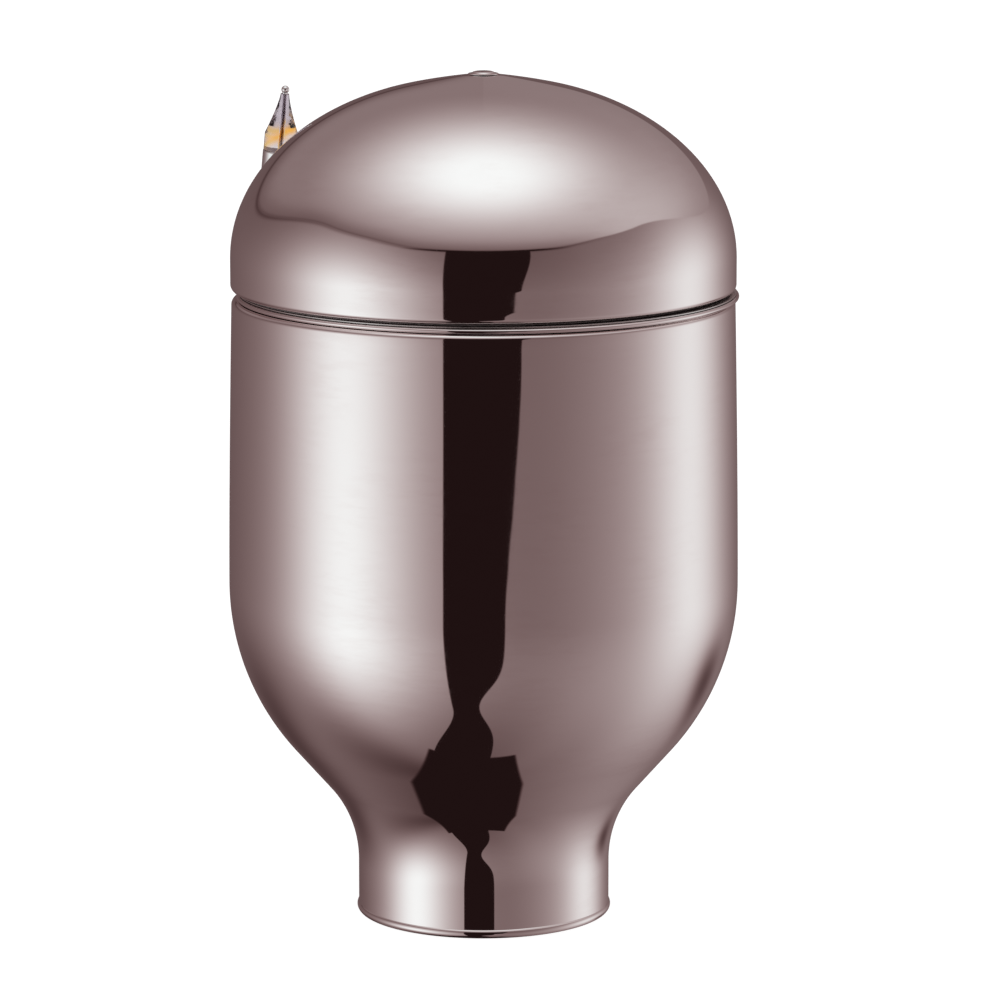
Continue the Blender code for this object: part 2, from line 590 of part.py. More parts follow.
# ---- Rear panel ----------------------------------------------------------------------------------
def panel_screw_frames():
    """Place and turn of each panel screw, radial to the neck on both sides of the opening."""
    frames = []
    for side in (-1, 1):
        turn = Matrix.Rotation(side * PANEL_SCREW_ANGLE, 4, "Z")
        place = turn @ Vector((0, NECK_RADIUS + GAP, PANEL_MIDDLE))
        frames.append((place, turn @ BACKWARD))
    return frames


def make_control_panel(dress, screw_steel):
    """A recessed box behind the foot's rear opening, held by a curved flange inside the neck."""
    half = PANEL_FLANGE_STEPS * STEP_ANGLE
    outer = NECK_INNER - GAP
    inner = outer - PANEL_WALL
    low = PANEL_LOW - PANEL_FLANGE_RISE
    high = PANEL_HIGH + PANEL_FLANGE_RISE
    outline = [(outer, high), (outer, low), (inner, low), (inner, high)]
    shape = spun(outline, 2 * PANEL_FLANGE_STEPS, math.pi / 2 - half, 2 * half)
    panel = add_piece("control_panel", shape, dress)
    side = PANEL_HALF_WIDTH - GAP
    box = block((-side, PANEL_DEPTH_Y, PANEL_LOW + GAP), (side, BODY_RADIUS, PANEL_HIGH - GAP))
    box = add_cutter("panel_box", box)
    flush = add_cutter("panel_flush", rod(NECK_RADIUS - GAP, 0, 2 * PANEL_HIGH, SEGMENTS))
    combine(box, flush, "INTERSECT")
    combine(panel, box, "UNION")
    room_low = (-side + PANEL_WALL, PANEL_FRONT, PANEL_LOW + GAP + PANEL_WALL)
    room_high = (side - PANEL_WALL, BODY_RADIUS, PANEL_HIGH - GAP - PANEL_WALL)
    combine(panel, add_cutter("panel_room", block(room_low, room_high)), "DIFFERENCE")
    for number, (place, turn) in enumerate(panel_screw_frames(), 1):
        hole = rod(SCREW_SHANK + HOLE_GAP, -0.01, 0.01)
        hole = add_cutter(f"panel_flange_hole_{number}", hole, place, turn)
        combine(panel, hole, "DIFFERENCE")
        shape = screw_shape(SCREW_SHANK, SCREW_HEAD, SCREW_HEAD_HEIGHT, PANEL_SCREW_LENGTH)
        add_piece(f"panel_screw_{number}", shape, screw_steel, place=place, turn=turn)
    return panel


def cut_window(piece, name, x, z, size, gap):
    """A rectangular hole through the panel's recess plate."""
    half_x = size[0] / 2 + gap
    half_z = size[1] / 2 + gap
    low = (x - half_x, PANEL_DEPTH_Y - 0.005, z - half_z)
    high = (x + half_x, PANEL_FRONT + 0.005, z + half_z)
    combine(piece, add_cutter(f"{name}_window", block(low, high)), "DIFFERENCE")


def centred(x, z, size, low_y, high_y):
    """A box centred on a point of the panel, from one depth to another."""
    return block((x - size[0] / 2, low_y, z - size[1] / 2), (x + size[0] / 2, high_y, z + size[1] / 2))


def make_inlet(panel, plastic, brass):
    """The appliance inlet: a flanged plastic socket with three blades, open to the rear."""
    z = PANEL_MIDDLE
    cut_window(panel, "inlet", INLET_X, z, INLET_BODY, GAP)
    face = FITTING_FRONT + INLET_FLANGE
    inlet = add_piece("appliance_inlet", centred(INLET_X, z, INLET_SIZE, FITTING_FRONT, face), plastic)
    back = face - INLET_DEPTH
    body = add_cutter("inlet_body", centred(INLET_X, z, INLET_BODY, back, face - 0.0005))
    combine(inlet, body, "UNION")
    floor = face - INLET_CAVITY_DEPTH
    cavity = add_cutter("inlet_cavity", centred(INLET_X, z, INLET_CAVITY, floor, face + 0.001))
    combine(inlet, cavity, "DIFFERENCE")
    blades = (("line", -1, 0.0), ("earth", 0, EARTH_RISE), ("neutral", 1, 0.0))
    for name, column, rise in blades:
        x = INLET_X + column * INLET_PIN_PITCH
        slot = (INLET_PIN[0] + 2 * GAP, INLET_PIN[1] + 2 * GAP)
        hole = add_cutter(f"{name}_slot", centred(x, z + rise, slot, back - 0.001, floor + 0.001))
        combine(inlet, hole, "DIFFERENCE")
        blade = centred(x, z + rise, INLET_PIN, back - INLET_TAIL, face - INLET_BLADE_SINK)
        add_piece(f"inlet_pin_{name}", blade, brass)


def make_switch(panel, axis, plastic, red):
    """A rocker switch: a housing with a well, and a rocker that tilts about a sideways axis."""
    x, z = SWITCH_X, PANEL_MIDDLE - SWITCH_Z_BELOW
    body = (SWITCH_SIZE[0] - 0.0016, SWITCH_SIZE[1] - 0.0016)
    cut_window(panel, "switch", x, z, body, GAP)
    face = FITTING_FRONT + 0.0015
    housing = add_piece("switch_housing", centred(x, z, SWITCH_SIZE, FITTING_FRONT, face), plastic)
    back = add_cutter("switch_body", centred(x, z, body, face - SWITCH_DEPTH, face - 0.0005))
    combine(housing, back, "UNION")
    well = centred(x, z, SWITCH_WELL, face - SWITCH_WELL_DEPTH, face + 0.001)
    combine(housing, add_cutter("switch_well", well), "DIFFERENCE")
    low = math.asin(ROCKER_THICKNESS * 0.2 / ROCKER_RADIUS)
    outline = arc((0, 0), ROCKER_RADIUS, math.pi / 2 + low, 3 * math.pi / 2 - low, 6)
    outline = [(y * ROCKER_THICKNESS / ROCKER_RADIUS, height) for y, height in outline]
    front = [(ROCKER_THICKNESS * 0.45, -0.97 * ROCKER_RADIUS), (ROCKER_THICKNESS * 0.15, 0)]
    front += [(ROCKER_THICKNESS * 0.45, 0.97 * ROCKER_RADIUS)]
    half = SWITCH_WELL[0] / 2 - GAP
    turn = Matrix.Rotation(-ROCKER_TILT, 4, "X")
    add_piece("rocker", prism(outline + front, -half, half), red, axis, axis.location, turn)


def make_lamp(panel, amber):
    """The heating indicator, a domed lens in a plain hole."""
    place = Vector((SWITCH_X, FITTING_FRONT, PANEL_MIDDLE + LAMP_ABOVE))
    drill(panel, [place], LAMP_RADIUS + HOLE_GAP, -0.01, 0.01, BACKWARD)
    brim = LAMP_RADIUS + 0.0008
    outline = [(0, 0.0026), (0.5 * brim, 0.0022), (brim, 0.0009), (brim, 0), (LAMP_RADIUS, 0)]
    outline += [(LAMP_RADIUS, -LAMP_DEPTH), (0, -LAMP_DEPTH)]
    add_piece("indicator_lamp", spun(outline, SMALL_SEGMENTS), amber, place=place, turn=BACKWARD)


def make_thermostat(panel, axis, plastic, steel, black, brass):
    """The thermostat behind the panel, its nut in front, and the knob on its turning shaft."""
    neck_gap = SHAFT_RADIUS + RUNNING_GAP
    drill(panel, [axis.location], THERMOSTAT_NECK + HOLE_GAP, -0.02, 0.02, BACKWARD)
    middle = (KNOB_X, KNOB_Z)
    high_y = PANEL_DEPTH_Y - GAP
    low_y = high_y - THERMOSTAT_SIZE[1]
    size = (THERMOSTAT_SIZE[0], THERMOSTAT_SIZE[2])
    box = add_piece("thermostat", centred(*middle, size, low_y, high_y), plastic)
    nut_radius, nut_high = THERMOSTAT_NUT
    neck_top = PANEL_FRONT + GAP + nut_high
    place = Vector((KNOB_X, 0, KNOB_Z))
    neck = add_cutter("thermostat_neck", rod(THERMOSTAT_NECK, high_y - 0.002, neck_top), place, BACKWARD)
    combine(box, neck, "UNION")
    shaft_low = high_y - 0.006
    bore = rod(neck_gap, shaft_low - GAP, neck_top + 0.01, SMALL_SEGMENTS)
    bore = add_cutter("thermostat_bore", bore, place, BACKWARD)
    combine(box, bore, "DIFFERENCE")
    nut_place = Vector((KNOB_X, PANEL_FRONT + GAP, KNOB_Z))
    nut = rod(nut_radius, 0, nut_high, HEX)
    nut = add_piece("thermostat_nut", nut, brass, place=nut_place, turn=BACKWARD)
    drill(nut, [nut_place], THERMOSTAT_NECK + HOLE_GAP, -0.01, 0.01, BACKWARD)
    bottom = PANEL_FRONT + KNOB_CLEAR
    top = bottom + KNOB_HEIGHT
    roof = nut_high + 0.0010
    skirt = KNOB_RADIUS - KNOB_SKIRT_STEP
    inside = skirt - KNOB_EDGE / 2
    socket_top = KNOB_HEIGHT - KNOB_ROOF
    socket = SHAFT_RADIUS + GAP
    outline = [(0, KNOB_HEIGHT), (skirt - KNOB_EDGE, KNOB_HEIGHT), (skirt, KNOB_HEIGHT - KNOB_EDGE)]
    outline += [(KNOB_RADIUS, KNOB_BRIM), (KNOB_RADIUS, 0), (inside, 0), (inside, roof)]
    outline += [(socket, roof), (socket, socket_top), (0, socket_top)]
    knob_place = Vector((KNOB_X, bottom, KNOB_Z))
    knob = add_piece("thermostat_knob", spun(outline, SMALL_SEGMENTS), black, axis, knob_place, BACKWARD)
    mark_half = KNOB_MARK[0] / 2
    groove_low = (KNOB_X - mark_half, top - KNOB_MARK[1], KNOB_Z + SHAFT_RADIUS)
    groove_high = (KNOB_X + mark_half, top + KNOB_MARK[1], KNOB_Z + KNOB_RADIUS)
    combine(knob, add_cutter("knob_mark", block(groove_low, groove_high)), "DIFFERENCE")
    shaft = rod(SHAFT_RADIUS, shaft_low, top - KNOB_ROOF - GAP)
    add_piece("knob_shaft", shaft, steel, axis, place, BACKWARD)


def make_wiring(plastic, line, neutral, earth):
    """The terminal block on the base plate, and the leads between the fittings and the heater."""
    low = FLANGE_LOW + GAP
    size = TERMINAL_SIZE
    add_piece(
        "terminal_block",
        block((-size[0] / 2, -size[1] / 2, low), (size[0] / 2, size[1] / 2, low + size[2])),
        plastic,
    )
    inlet_back = FITTING_FRONT + INLET_FLANGE - INLET_DEPTH - INLET_TAIL - 2 * GAP - LEAD_RADIUS
    block_top = low + size[2] + 2 * GAP
    leads = (("line_lead", -1, 0.0, line), ("earth_lead", 0, EARTH_RISE, earth))
    leads += (("neutral_lead", 1, 0.0, neutral),)
    for name, column, rise, dress in leads:
        start = Vector((INLET_X + column * INLET_PIN_PITCH, inlet_back, PANEL_MIDDLE + rise))
        end = Vector((column * LEAD_PITCH, 0, block_top))
        wire(name, lead_points(start, end, LEAD_ARCH), LEAD_RADIUS, dress)
    start_x, end_x = HEATER_LEAD_HALF
    ends = [PAN_SEAT + Vector((side * end_x, 0, CLAMP_LOW - GAP - CUTOUT_HEIGHT)) for side in (-1, 1)]
    starts = [Vector((side * start_x, 0, block_top)) for side in (-1, 1)]
    for name, start, end, dress in zip(("heater_lead_a", "heater_lead_b"), starts, ends, (line, neutral)):
        end.z -= 2 * GAP
        wire(name, lead_points(start, end, 0.0), LEAD_RADIUS, dress)


def lead_points(start, end, rise):
    """A lead that leaves both ends smoothly, lifted in its middle by a sine arch."""
    points = []
    for i in range(LEAD_STEPS + 1):
        share = i / LEAD_STEPS
        ease = share * share * (3 - 2 * share)
        point = start.lerp(end, ease)
        point.z = start.z + (end.z - start.z) * share + rise * math.sin(math.pi * share)
        points.append(point)
    return points


# ---- Lid -----------------------------------------------------------------------------------------
def dome_rise(out, radius, height):
    """Height of a superellipse dome above its foot, with the soft point at its crown."""
    point = CROWN_RISE * max(0.0, 1 - out / CROWN_REACH) ** 2
    return height * (1 - (out / radius) ** DOME_POWER_OUT) ** (1 / DOME_POWER_UP) + point


def dome_outline(radius, height):
    """The dome from its foot up to the small flat at its crown, which ends on the axis."""
    turns = [math.pi / 2 * i / DOME_STEPS for i in range(DOME_STEPS)]
    outs = [radius * math.cos(turn) ** (2 / DOME_POWER_OUT) for turn in turns] + [CROWN_FLAT]
    points = [(out, DOME_LOW + dome_rise(out, radius, height)) for out in outs]
    return points + [(0, points[-1][1])]


def make_lid_shell(axis, dress):
    """The spun dome with its lower edge turned inwards."""
    outer = dome_outline(LID_RADIUS, DOME_HEIGHT)
    inner = dome_outline(LID_RADIUS - LID_WALL, DOME_HEIGHT - LID_WALL)
    lip = LID_LIP_ROUND
    edge = arc((LID_RADIUS - lip, LID_LOW + lip), lip, -math.pi / 2, 0, 3)
    inner_edge = [(LID_RADIUS - LID_WALL, LID_LOW + lip), (LID_RADIUS - lip, LID_LOW + LID_WALL)]
    turned_in = LID_RADIUS - LID_LIP_WIDTH
    inner_edge += [(turned_in, LID_LOW + LID_WALL), (turned_in, LID_LOW)]
    outline = inner[::-1] + inner_edge + edge + outer
    lid = add_piece("lid_shell", spun(outline), dress, axis)
    drill(lid, [Vector((0, 0, outer[-1][1]))], STUD_RADIUS + HOLE_GAP, -0.02, 0.02)
    drill(lid, hinge_screw_places(leaf_screw_height()), SCREW_SHANK + HOLE_GAP, -0.02, 0.02, BACKWARD)


def make_lid_inside(axis, steel, rubber):
    """The drip skirt that keeps condensate in the pot, and the seal under the lid's lip."""
    low = LID_LOW - DRIP_DEPTH
    high = LID_LOW + LID_WALL + GAP
    out = LID_RADIUS - LID_LIP_WIDTH + DRIP_FLANGE
    inner = DRIP_RADIUS - DRIP_WALL
    outline = [(out, high + DRIP_WALL), (out, high), (DRIP_RADIUS, high), (DRIP_RADIUS, low), (inner, low)]
    outline += [(inner, high + DRIP_WALL)]
    add_piece("drip_skirt", spun(outline), steel, axis)
    seal_out = RIM_RADIUS - SEAL_INSET
    seal_in = seal_out - SEAL_WIDTH
    outline = [(seal_out - SEAL_ROUND, SEAL_LOW + SEAL_HEIGHT), (seal_out, SEAL_LOW + SEAL_HEIGHT / 2)]
    outline += [(seal_out - SEAL_ROUND, SEAL_LOW), (seal_in, SEAL_LOW), (seal_in, SEAL_LOW + SEAL_HEIGHT)]
    add_piece("lid_seal", spun(outline), rubber, axis)


def make_button(axis, mirror, steel):
    """The stepped button on the crown, on a stud with a washer and nut under the dome."""
    crown = DOME_LOW + dome_rise(CROWN_FLAT, LID_RADIUS, DOME_HEIGHT)
    seat = crown + GAP
    step = 0.45 * BUTTON_HEIGHT
    radius = BUTTON_RADIUS
    washer_high = crown - LID_WALL - 2 * GAP
    nut_high = washer_high - WASHER_THICKNESS - GAP
    stud_low = nut_high - NUT_THICKNESS - STUD_RADIUS
    outline = [(0, seat + BUTTON_HEIGHT), (0.45 * radius, seat + 0.94 * BUTTON_HEIGHT)]
    outline += [(0.72 * radius, seat + 0.72 * BUTTON_HEIGHT), (0.74 * radius, seat + step)]
    outline += [(0.94 * radius, seat + 0.8 * step), (radius, seat + 0.3 * step), (radius, seat)]
    outline += [(STUD_RADIUS, seat), (STUD_RADIUS, stud_low), (0, stud_low)]
    add_piece("top_button", spun(outline, SMALL_SEGMENTS), mirror, axis)
    hole = STUD_RADIUS + HOLE_GAP
    ring = [(WASHER_RADIUS, washer_high), (WASHER_RADIUS, washer_high - WASHER_THICKNESS)]
    ring += [(hole, washer_high - WASHER_THICKNESS), (hole, washer_high)]
    add_piece("button_washer", spun(ring, SMALL_SEGMENTS), steel, axis)
    nut = add_piece("button_nut", rod(NUT_RADIUS, nut_high - NUT_THICKNESS, nut_high, HEX), steel, axis)
    drill(nut, [Vector((0, 0, nut_high))], hole, -0.01, 0.01)


# ---- Hinge ---------------------------------------------------------------------------------------
def bracket_screw_height():
    return RIM_HEIGHT - BRACKET_DROP - BRACKET_HEIGHT / 2


def leaf_screw_height():
    return LID_LOW + LEAF_RISE + LEAF_HEIGHT / 2


def hinge_screw_places(height):
    return [Vector((side * HINGE_SCREW_X, LID_RADIUS, height)) for side in (-1, 1)]


def curved_plate(inner, thickness, low, high):
    """A plate bent round the vessel's rear, with its facets in step with the shell's."""
    outer = inner + thickness
    outline = [(outer, high), (outer, low), (inner, low), (inner, high)]
    return spun(outline, 2, math.pi / 2 - STEP_ANGLE, 2 * STEP_ANGLE)


def hinge_point(y, z):
    """A (y, z) point measured from the hinge axis."""
    return (HINGE.y + y, HINGE.z + z)


def make_bracket(steel, screw_steel):
    """The fixed half of the hinge: a curved plate with two cheeks and a stop bar between them."""
    high = RIM_HEIGHT - BRACKET_DROP
    low = high - BRACKET_HEIGHT
    inner = wall_radius(low) + GAP
    plate = add_piece("hinge_bracket", curved_plate(inner, LEAF_THICKNESS, low, high), steel)
    root = inner + 0.3 * LEAF_THICKNESS
    round_end = arc(HINGE.yz, KNUCKLE_RADIUS, -math.pi * 0.1, math.pi * 0.95, 6)
    cheek = [(root, high), (root, low + 0.004), (root + LEAF_THICKNESS, low + 0.004)]
    cheek += [hinge_point(0.010, -0.024), hinge_point(0.015, -0.021), hinge_point(0.015, -0.0165)]
    outline = cheek + round_end
    for side, x in (("left", -CHEEK_OUTER), ("right", CHEEK_INNER)):
        combine(plate, add_cutter(f"cheek_{side}", prism(outline, x, x + CHEEK_THICKNESS)), "UNION")
    bar = [hinge_point(0.009, -0.0225), hinge_point(0.0145, -0.0205), hinge_point(0.0145, -0.0170)]
    bar += [hinge_point(0.009, -0.0170)]
    reach = CHEEK_OUTER - 0.4 * CHEEK_THICKNESS
    combine(plate, add_cutter("stop_bar", prism(bar, -reach, reach)), "UNION")
    drill(plate, [HINGE], PIN_RADIUS + RUNNING_GAP, -0.03, 0.03, SIDEWAYS, SMALL_SEGMENTS)
    screw_height = bracket_screw_height()
    places = hinge_screw_places(screw_height)
    drill(plate, places, SCREW_SHANK + HOLE_GAP, -0.02, 0.02, BACKWARD)
    add_hinge_fixings("bracket", inner, screw_height, None, steel, screw_steel)


def add_hinge_fixings(name, inner, height, axis, steel, screw_steel):
    """A threaded backing plate inside the wall and two screws from outside into it."""
    backing_out = RIM_RADIUS - SHELL_WALL - 2 * GAP - (LEAF_BACKING_INSET if axis else 0.0)
    low, high = height - BACKING_HALF, height + BACKING_HALF
    shape = curved_plate(backing_out - BACKING_THICKNESS, BACKING_THICKNESS, low, high)
    backing = add_piece(f"{name}_backing_plate", shape, steel, axis)
    drill(backing, hinge_screw_places(height), SCREW_SHANK + HOLE_GAP, -0.02, 0.02, BACKWARD)
    seat = inner + LEAF_THICKNESS + GAP
    length = seat - backing_out + BACKING_THICKNESS + 0.0012
    for number, place in enumerate(hinge_screw_places(height), 1):
        place.y = seat
        shape = screw_shape(SCREW_SHANK, SCREW_HEAD, SCREW_HEAD_HEIGHT, length)
        add_piece(f"{name}_screw_{number}", shape, screw_steel, axis, place, BACKWARD)


def make_leaf(axis, steel, screw_steel):
    """The lid's half of the hinge: curved leaf, knuckle, web and the lever stem up to the grip."""
    low = LID_LOW + LEAF_RISE
    high = low + LEAF_HEIGHT
    inner = LID_RADIUS + GAP
    leaf = add_piece("lid_leaf", curved_plate(inner, LEAF_THICKNESS, low, high), steel, axis)
    root = inner + 0.3 * LEAF_THICKNESS
    knuckle = arc(HINGE.yz, KNUCKLE_RADIUS - 0.0002, -math.pi * 0.85, math.pi * 0.25, 6)
    web = [(root, low + 0.012), (root, low + 0.0015), (root + 0.0025, low)]
    web = web + [hinge_point(-0.0062, -0.001)] + knuckle
    barrel = add_cutter("leaf_barrel", prism(web, -BARREL_HALF, BARREL_HALF))
    combine(leaf, barrel, "UNION")
    foot = GRIP_BASE.yz
    half = LEVER_THICKNESS / 2
    stem = [hinge_point(-0.002, 0.001), hinge_point(0.0035, 0.001), (foot.x + half, foot.y - LEVER_FOOT)]
    stem += [(foot.x + half, foot.y - GAP), (foot.x - half, foot.y - GAP)]
    stem += [(foot.x - half, foot.y - LEVER_FOOT)]
    combine(leaf, add_cutter("lever_stem", prism(stem, -LEVER_WIDTH / 2, LEVER_WIDTH / 2)), "UNION")
    drill(leaf, [HINGE], BUSH_RADIUS + RUNNING_GAP, -0.03, 0.03, SIDEWAYS, SMALL_SEGMENTS)
    screw_height = leaf_screw_height()
    drill(leaf, hinge_screw_places(screw_height), SCREW_SHANK + HOLE_GAP, -0.02, 0.02, BACKWARD)
    add_hinge_fixings("leaf", inner, screw_height, axis, steel, screw_steel)


def make_pin(axis, steel, bronze):
    """The hinge pin with its head, the cap on its other end, and the bush in the lid's knuckle."""
    reach = CHEEK_OUTER + GAP
    cap = PIN_CAP_THICKNESS
    end = reach + 2 * cap
    outline = [(0, end), (PIN_RADIUS - PIN_END_ROUND, end), (PIN_RADIUS, end - PIN_END_ROUND)]
    outline += [(PIN_RADIUS, -reach), (PIN_HEAD, -reach)]
    outline += [(PIN_HEAD, -reach - PIN_HEAD_THICKNESS), (0, -reach - PIN_HEAD_THICKNESS)]
    add_piece("hinge_pin", spun(outline, SMALL_SEGMENTS), steel, place=HINGE, turn=SIDEWAYS)
    bore = PIN_RADIUS + RUNNING_GAP
    outline = [(PIN_HEAD, reach + cap), (PIN_HEAD, reach), (bore, reach), (bore, reach + cap)]
    add_piece("pin_cap", spun(outline, SMALL_SEGMENTS), steel, place=HINGE, turn=SIDEWAYS)
    half = BARREL_HALF
    outline = [(BUSH_RADIUS, half), (BUSH_RADIUS, -half), (bore, -half), (bore, half)]
    add_piece("hinge_bush", spun(outline, SMALL_SEGMENTS), bronze, axis, HINGE, SIDEWAYS)


# ---- Lever grip ----------------------------------------------------------------------------------
def grip_radius(share):
    """Radius of the glass horn: full up to the kink, then drawn in to the tip by a power of what is left."""
    left = min(1.0, (1 - share) / (1 - GRIP_KINK))
    return GRIP_TIP_RADIUS + (GRIP_RADIUS - GRIP_TIP_RADIUS) * left**GRIP_DRAW


def make_grip(axis, chrome, glass, steel):
    """Chrome ferrule, glass horn, the tie rod through both and the ball nut that holds them."""
    bore = TIE_ROD_RADIUS + HOLE_GAP
    radius = FERRULE_RADIUS
    outline = [(radius - FERRULE_RIM, FERRULE_HEIGHT), (radius, FERRULE_HEIGHT - FERRULE_RIM)]
    outline += [(radius, FERRULE_TAPER), (0.72 * radius, 0.24 * FERRULE_TAPER), (0.6 * radius, 0)]
    outline += [(bore, 0), (bore, FERRULE_HEIGHT)]
    add_piece("grip_ferrule", spun(outline, SMALL_SEGMENTS), chrome, axis, GRIP_BASE, GRIP_TURN)
    low = FERRULE_HEIGHT + GAP
    drawn = 1 - GRIP_KINK
    shares = [0.0] + [GRIP_KINK + drawn * i / (GRIP_STEPS - 1) for i in range(GRIP_STEPS)]
    horn = [(grip_radius(share), low + GRIP_HEIGHT * share) for share in shares][::-1]
    horn += [(bore, low), (bore, low + GRIP_HEIGHT)]
    add_piece("glass_grip", spun(horn, SMALL_SEGMENTS), glass, axis, GRIP_BASE, GRIP_TURN)
    top = low + GRIP_HEIGHT + GAP
    stud = rod(TIE_ROD_RADIUS, TIE_ROD_LOW, top + TIE_ROD_THREAD)
    add_piece("tie_rod", stud, steel, axis, GRIP_BASE, GRIP_TURN)
    centre = top + TIP_BALL_RADIUS
    ball = arc((0, centre), TIP_BALL_RADIUS, math.pi / 2, -math.pi / 4, 5)
    neck = ball[-1][0]
    ball[0] = (0, ball[0][1])
    ball += [(neck, top), (bore, top), (bore, top + TIP_BALL_BORE), (0, top + TIP_BALL_BORE)]
    add_piece("tip_ball_nut", spun(ball, SMALL_SEGMENTS), chrome, axis, GRIP_BASE, GRIP_TURN)


def main():
    clear_scene()
    mirror = finish("mirror_steel", (0.62, 0.55, 0.54), 0.06, 1.0)
    steel = finish("satin_steel", (0.58, 0.57, 0.56), 0.32, 1.0)
    chrome = finish("chrome", (0.78, 0.77, 0.77), 0.05, 1.0)
    screw_steel = finish("screw_steel", (0.50, 0.50, 0.50), 0.35, 1.0)
    aluminium = finish("cast_aluminium", (0.66, 0.66, 0.67), 0.45, 1.0)
    element_metal = finish("element_sheath", (0.22, 0.21, 0.20), 0.5, 1.0)
    bronze = finish("bronze", (0.60, 0.42, 0.22), 0.4, 1.0)
    rubber = finish("black_rubber", (0.03, 0.03, 0.03), 0.8, 0.0)
    black = finish("black_plastic", (0.03, 0.03, 0.03), 0.4, 0.0)
    pale = finish("pale_plastic", (0.75, 0.73, 0.68), 0.5, 0.0)
    red = finish("red_plastic", (0.55, 0.05, 0.03), 0.35, 0.0)
    amber = finish("amber_lens", (0.85, 0.38, 0.05), 0.15, 0.0)
    glass = finish("smoky_glass", (0.72, 0.68, 0.74), 0.03, 0.0, 0.5)
    leads = [finish(f"{name}_insulation", colour, 0.5, 0.0) for name, colour in (
        ("brown", (0.20, 0.09, 0.04)), ("blue", (0.05, 0.16, 0.45)), ("green", (0.10, 0.35, 0.10)))]

    lid_axis = pivot("lid_axis", HINGE)
    seat = pivot("pan_seat", PAN_SEAT)
    bail_axis = pivot("bail_axis", PAN_SEAT + Vector((0, 0, BAIL_Z)))
    rocker_y = FITTING_FRONT + 0.0010
    rocker_axis = pivot("rocker_axis", (SWITCH_X, rocker_y, PANEL_MIDDLE - SWITCH_Z_BELOW))
    knob_axis = pivot("knob_axis", (KNOB_X, PANEL_FRONT, KNOB_Z))

    make_body_shell(mirror)
    make_base(steel, rubber, screw_steel)
    make_water_pan(seat, mirror)
    make_food_pot(seat, steel)
    make_bail(seat, bail_axis, steel)
    make_heater(seat, aluminium, steel, element_metal, pale, screw_steel)
    panel = make_control_panel(steel, screw_steel)
    make_inlet(panel, black, bronze)
    make_switch(panel, rocker_axis, black, red)
    make_lamp(panel, amber)
    make_thermostat(panel, knob_axis, pale, steel, black, bronze)
    make_wiring(pale, *leads)
    make_lid_shell(lid_axis, mirror)
    make_lid_inside(lid_axis, steel, rubber)
    make_button(lid_axis, mirror, steel)
    make_bracket(steel, screw_steel)
    make_leaf(lid_axis, steel, screw_steel)
    make_pin(lid_axis, steel, bronze)
    make_grip(lid_axis, chrome, glass, steel)


main()
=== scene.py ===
"""The looks of a footed soup urn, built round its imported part.

Lengths are in metres in the part's own frame: +Z up, +Y to the rear, the origin under the middle of the foot.
Polished shells are turned again from fine profiles, so that they mirror the studio without facets. Small
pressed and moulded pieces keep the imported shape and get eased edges.
"""

import logging
import math
from dataclasses import dataclass, field
from enum import Enum

import bmesh
import bpy
import numpy as np
from mathutils import Matrix, Vector


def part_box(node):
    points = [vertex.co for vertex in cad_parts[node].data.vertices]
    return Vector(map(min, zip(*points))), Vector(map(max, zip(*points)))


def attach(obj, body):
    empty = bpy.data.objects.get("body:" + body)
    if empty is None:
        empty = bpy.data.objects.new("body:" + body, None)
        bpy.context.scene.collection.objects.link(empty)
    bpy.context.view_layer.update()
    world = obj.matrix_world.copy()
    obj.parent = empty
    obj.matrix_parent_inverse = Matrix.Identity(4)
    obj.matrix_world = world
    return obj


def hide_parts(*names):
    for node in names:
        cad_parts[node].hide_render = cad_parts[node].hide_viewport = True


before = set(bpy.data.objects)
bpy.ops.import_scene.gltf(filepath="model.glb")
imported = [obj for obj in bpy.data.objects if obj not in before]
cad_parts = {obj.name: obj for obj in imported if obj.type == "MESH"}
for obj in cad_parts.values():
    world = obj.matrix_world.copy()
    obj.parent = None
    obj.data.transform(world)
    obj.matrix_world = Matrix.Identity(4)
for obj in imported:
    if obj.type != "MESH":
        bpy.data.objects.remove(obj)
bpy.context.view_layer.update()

LOG = logging.getLogger("urn")
Array = np.ndarray
Colour = tuple[float, float, float]
Socket = bpy.types.NodeSocket

FULL_TURN = 2 * math.pi
POLE_MERGE = 1e-7  # points on the axis closer than this are one point
CAD_MERGE = 2e-6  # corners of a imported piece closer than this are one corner
FLAT_ANGLE = math.radians(0.6)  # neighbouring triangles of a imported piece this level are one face
SOFT_ANGLE = math.radians(38.0)  # edges sharper than this stay crisp
PAN_SEAT = np.array([0.001768, -0.001768, 0.0])  # where the loose pan and the pot in it sit


class Body(Enum):
    """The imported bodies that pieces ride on."""

    BASE = "base"
    LID = "lid"
    KNOB = "knob"
    ROCKER = "rocker"
    BAIL = "bail"


class Slot(Enum):
    """The record's material slots."""

    MIRROR = "mirror_steel"
    SATIN = "satin_steel"
    SCREW = "screw_steel"
    CHROME = "chrome"
    ALUMINIUM = "cast_aluminium"
    SHEATH = "element_sheath"
    BRONZE = "bronze"
    RUBBER = "black_rubber"
    BLACK = "black_plastic"
    PALE = "pale_plastic"
    RED = "red_plastic"
    AMBER = "amber_lens"
    GLASS = "smoky_glass"
    BROWN_LEAD = "brown_insulation"
    BLUE_LEAD = "blue_insulation"
    GREEN_LEAD = "green_insulation"


